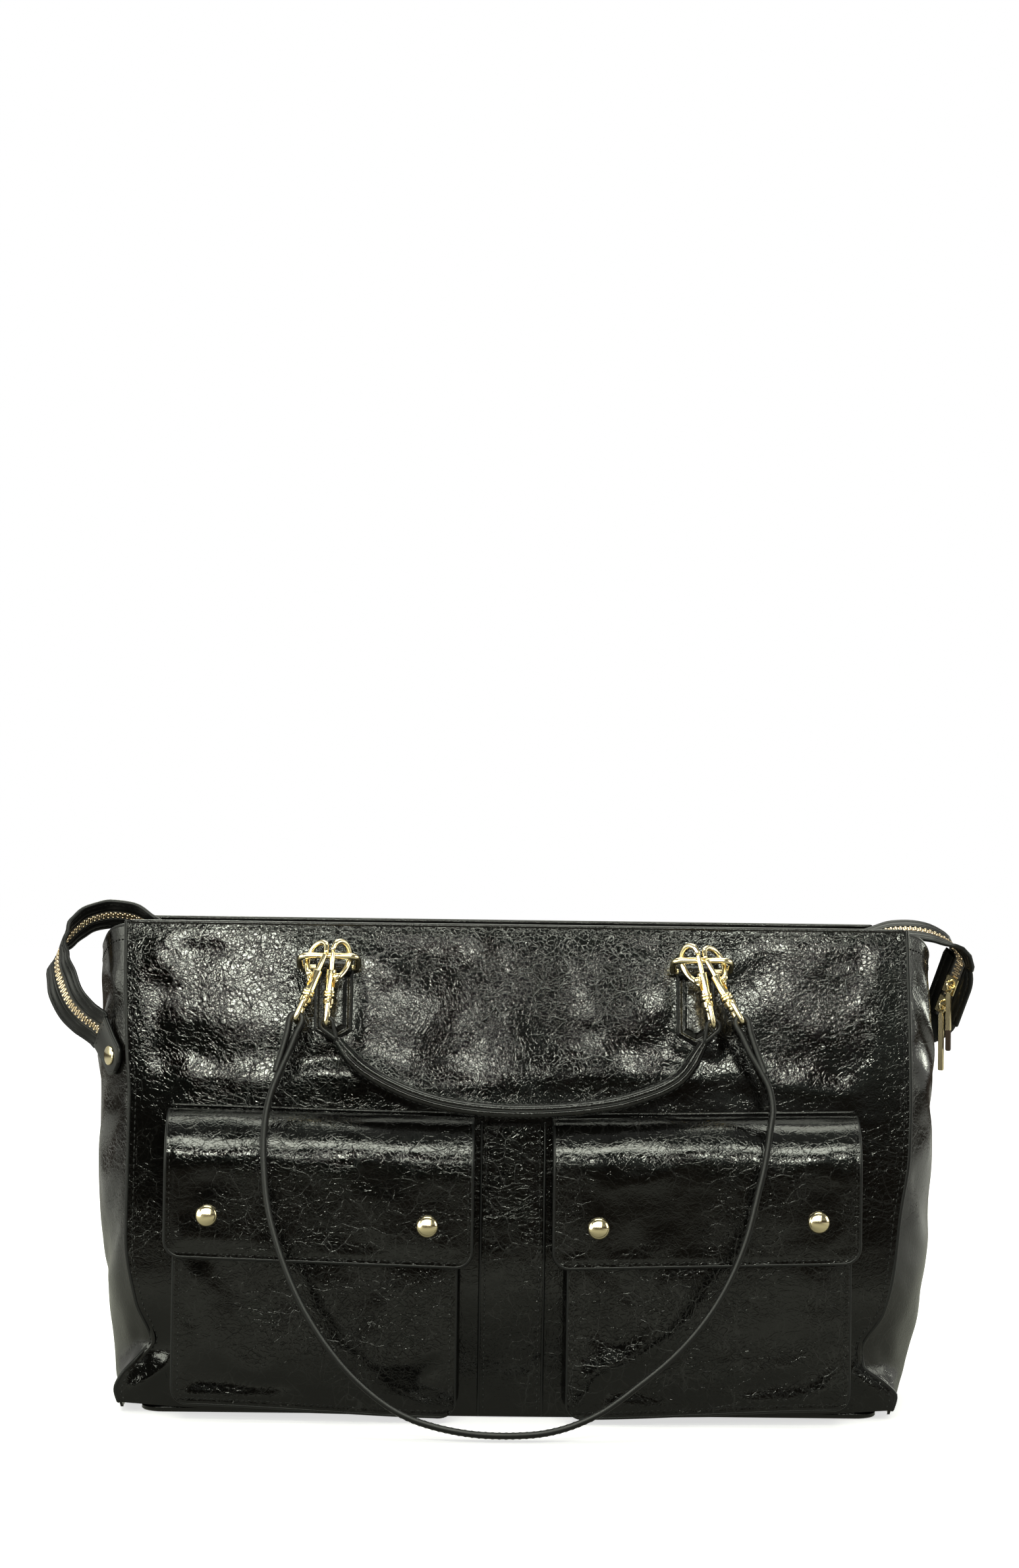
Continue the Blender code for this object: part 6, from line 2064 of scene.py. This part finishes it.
def studio():
    """White behind the bag to the camera, and a dark room with soft light to the leather."""
    world = bpy.data.worlds.new("studio")
    bpy.context.scene.world = world
    nodes = Nodes(world)
    for node in list(nodes.tree.nodes):
        nodes.tree.nodes.remove(node)
    way = nodes.split(nodes.coords("Generated"))
    x, y, z = way["X"], way["Y"], way["Z"]
    # brightness by height, then by how far round to the back
    tone = nodes.colour_ramp(nodes.times_plus(z, 0.5, 0.5), ROOM_TONES)
    around = nodes.times(nodes.mapped(y, start=-0.35, end=0.6), 0.9)
    colour = nodes.mix(around, tone, (0.44, 0.44, 0.41))
    # pale walls far round to the left and right
    beside = nodes.mapped(nodes.math("ABSOLUTE", x), start=0.62, end=0.88, last=0.8)
    behind = nodes.mapped(y, start=-0.5, end=-0.08, first=0.06)
    colour = nodes.mix(nodes.times(beside, behind), colour, (0.50, 0.51, 0.46))
    # a dark screen to the left of the camera, which keeps the bag's left end deep black
    shift = nodes.mapped(z, start=0.205, end=0.25, first=0.085, last=0.0)
    clear_right = nodes.math("SUBTRACT", x, shift)
    clear_right = nodes.mapped(clear_right, start=-0.115, end=-0.07, first=0.12)
    clear_left = nodes.mapped(x, start=-0.6, end=-0.45, first=1.0, last=0.12)
    clear_back = nodes.mapped(y, start=-0.5, end=-0.2)
    strength = nodes.math("MAXIMUM", clear_right, clear_left)
    strength = nodes.math("MAXIMUM", strength, clear_back)
    seen, room = (
        nodes.add("Background", {"Color": shade, "Strength": power}).outputs[0]
        for shade, power in (((1, 1, 1, 1), 1.0), (colour, strength))
    )
    nodes.add("OutputWorld", {"Surface": nodes.seen_and_reflected(seen, room)})


studio()

# ---------------------------------------------------------------- lights and camera

CAMERA = np.array([-30.0, -1680.0, 305.0])
YAW, PITCH, ROLL = 0.0158, 0.0274, 0.0134  # radians
SENSOR_HIGH, LENS = 36.0, 66.403361

SOFT_TINT = (0.965, 1, 0.86)
COOL_GOLD, WARM_GOLD = (0.99, 0.98, 0.86), (1, 0.97, 0.9)
KEY_REACH = 1500  # from the bag to the key lights, mm

# name, place, target (metres), width, height (metres), power (watts)
ROOM_LIGHTS = [
    ("front_strip", (0, -1.62, 1.35), (0, 0, 0.15), 1.5, 0.34, 15),
    ("overhead", (0, -0.2, 1.9), (0, 0, 0.1), 1.5, 0.5, 9),
    ("overhead_back", (0, 0.9, 1.8), (0, 0, 0.1), 1.6, 0.8, 14),
    ("left", (-2.0, 0.2, 0.7), (0, 0, 0.15), 0.8, 1.1, 5),
    ("right", (2.0, 0.2, 0.7), (0, 0, 0.15), 0.8, 1.1, 5),
]
# name, point where its reflection shows (mm), the face's backward lean (degrees), size, power
KEY_LIGHTS = [
    ("key_left", (-145, -70, 244), 9.5, 0.12, 0.09, 1.6),
    ("key_right", (130, -70, 250), 9.7, 0.10, 0.075, 1.2),
    ("key_middle", (-70, -76, 217), 9.1, 0.07, 0.06, 0.45),
]
CORNER_LIGHTS = [
    ("back_key", (-0.5, 1.6, 0.75), (0, 0, 0.2), 0.5, 0.35, 6),
    ("corner_front", (-1.15, -1.28, 0.40), (0, 0, 0.15), 0.55, 0.34, 3.0),
    ("corner_back", (1.15, 1.30, 0.42), (0, 0, 0.15), 0.55, 0.34, 3.0),
]
# as above, with a tint
METAL_LIGHTS = [
    ("metal_front", (-0.4, -1.9, 0.95), (0, 0, 0.2), 2.4, 1.3, 40, COOL_GOLD),
    ("metal_left", (-1.9, -0.6, 0.7), (0, 0, 0.2), 0.8, 1.0, 10, WARM_GOLD),
    ("metal_right", (1.9, -0.6, 0.7), (0, 0, 0.2), 0.8, 1.0, 10, WARM_GOLD),
    ("metal_low", (-1.15, -0.70, 0.16), (0.25, 0, 0.2), 0.9, 0.6, 14, COOL_GOLD),
]


def softbox(name, place, target, width, height, power, tint=SOFT_TINT):
    light = bpy.data.lights.new(name, "AREA")
    light.shape = "RECTANGLE"
    light.size, light.size_y = width, height
    light.energy = power
    light.color = tint
    light.spread = math.radians(180)
    obj = placed(name, light)
    obj.visible_camera = False
    obj.location = Vector(place)
    aim = Vector(target) - Vector(place)
    obj.rotation_euler = aim.to_track_quat("-Z", "Y").to_euler()
    return obj


def mirrored(point, lean):
    """Place and target, in metres, of a light the camera sees at a point of a leaning face."""
    point = np.asarray(point, float)
    lean = math.radians(lean)
    normal = np.array([0, -math.cos(lean), math.sin(lean)])
    sight = unit(point - CAMERA)
    bounce = sight - 2 * (sight @ normal) * normal
    return (point + KEY_REACH * bounce) * MM, point * MM


def lights():
    for row in ROOM_LIGHTS:
        softbox(*row)
    for name, point, lean, width, height, power in KEY_LIGHTS:
        softbox(name, *mirrored(point, lean), width, height, power)
    for row in CORNER_LIGHTS:
        softbox(*row)
    # light that falls only on the metal, so that it stays pale gold against the black leather
    plated = bpy.data.collections.new("plated")
    for obj in bpy.data.objects:
        if obj.type == "MESH" and any(m in (GOLD, TEETH) for m in obj.data.materials):
            plated.objects.link(obj)
    for row in METAL_LIGHTS:
        light = softbox(*row)
        light.light_linking.receiver_collection = plated
        light.light_linking.blocker_collection = plated


def camera():
    data = bpy.data.cameras.new("camera")
    data.sensor_fit = "VERTICAL"
    data.sensor_height = SENSOR_HIGH
    data.lens = LENS
    data.clip_end = 50
    obj = placed("camera", data)
    right = np.array([math.cos(YAW), -math.sin(YAW), 0])
    ahead = np.array([math.sin(YAW), math.cos(YAW), 0])
    look = ahead * math.cos(PITCH) + UP * math.sin(PITCH)
    top = -ahead * math.sin(PITCH) + UP * math.cos(PITCH)
    x = math.cos(ROLL) * right + math.sin(ROLL) * top
    y = -math.sin(ROLL) * right + math.cos(ROLL) * top
    matrix = Matrix.Identity(4)
    for column, values in enumerate((x, y, -look, CAMERA * MM)):
        for i in range(3):
            matrix[i][column] = values[i]
    obj.matrix_world = matrix
    bpy.context.scene.camera = obj


lights()
camera()
bpy.context.scene.view_settings.view_transform = "Standard"
bpy.context.scene.view_settings.look = "None"
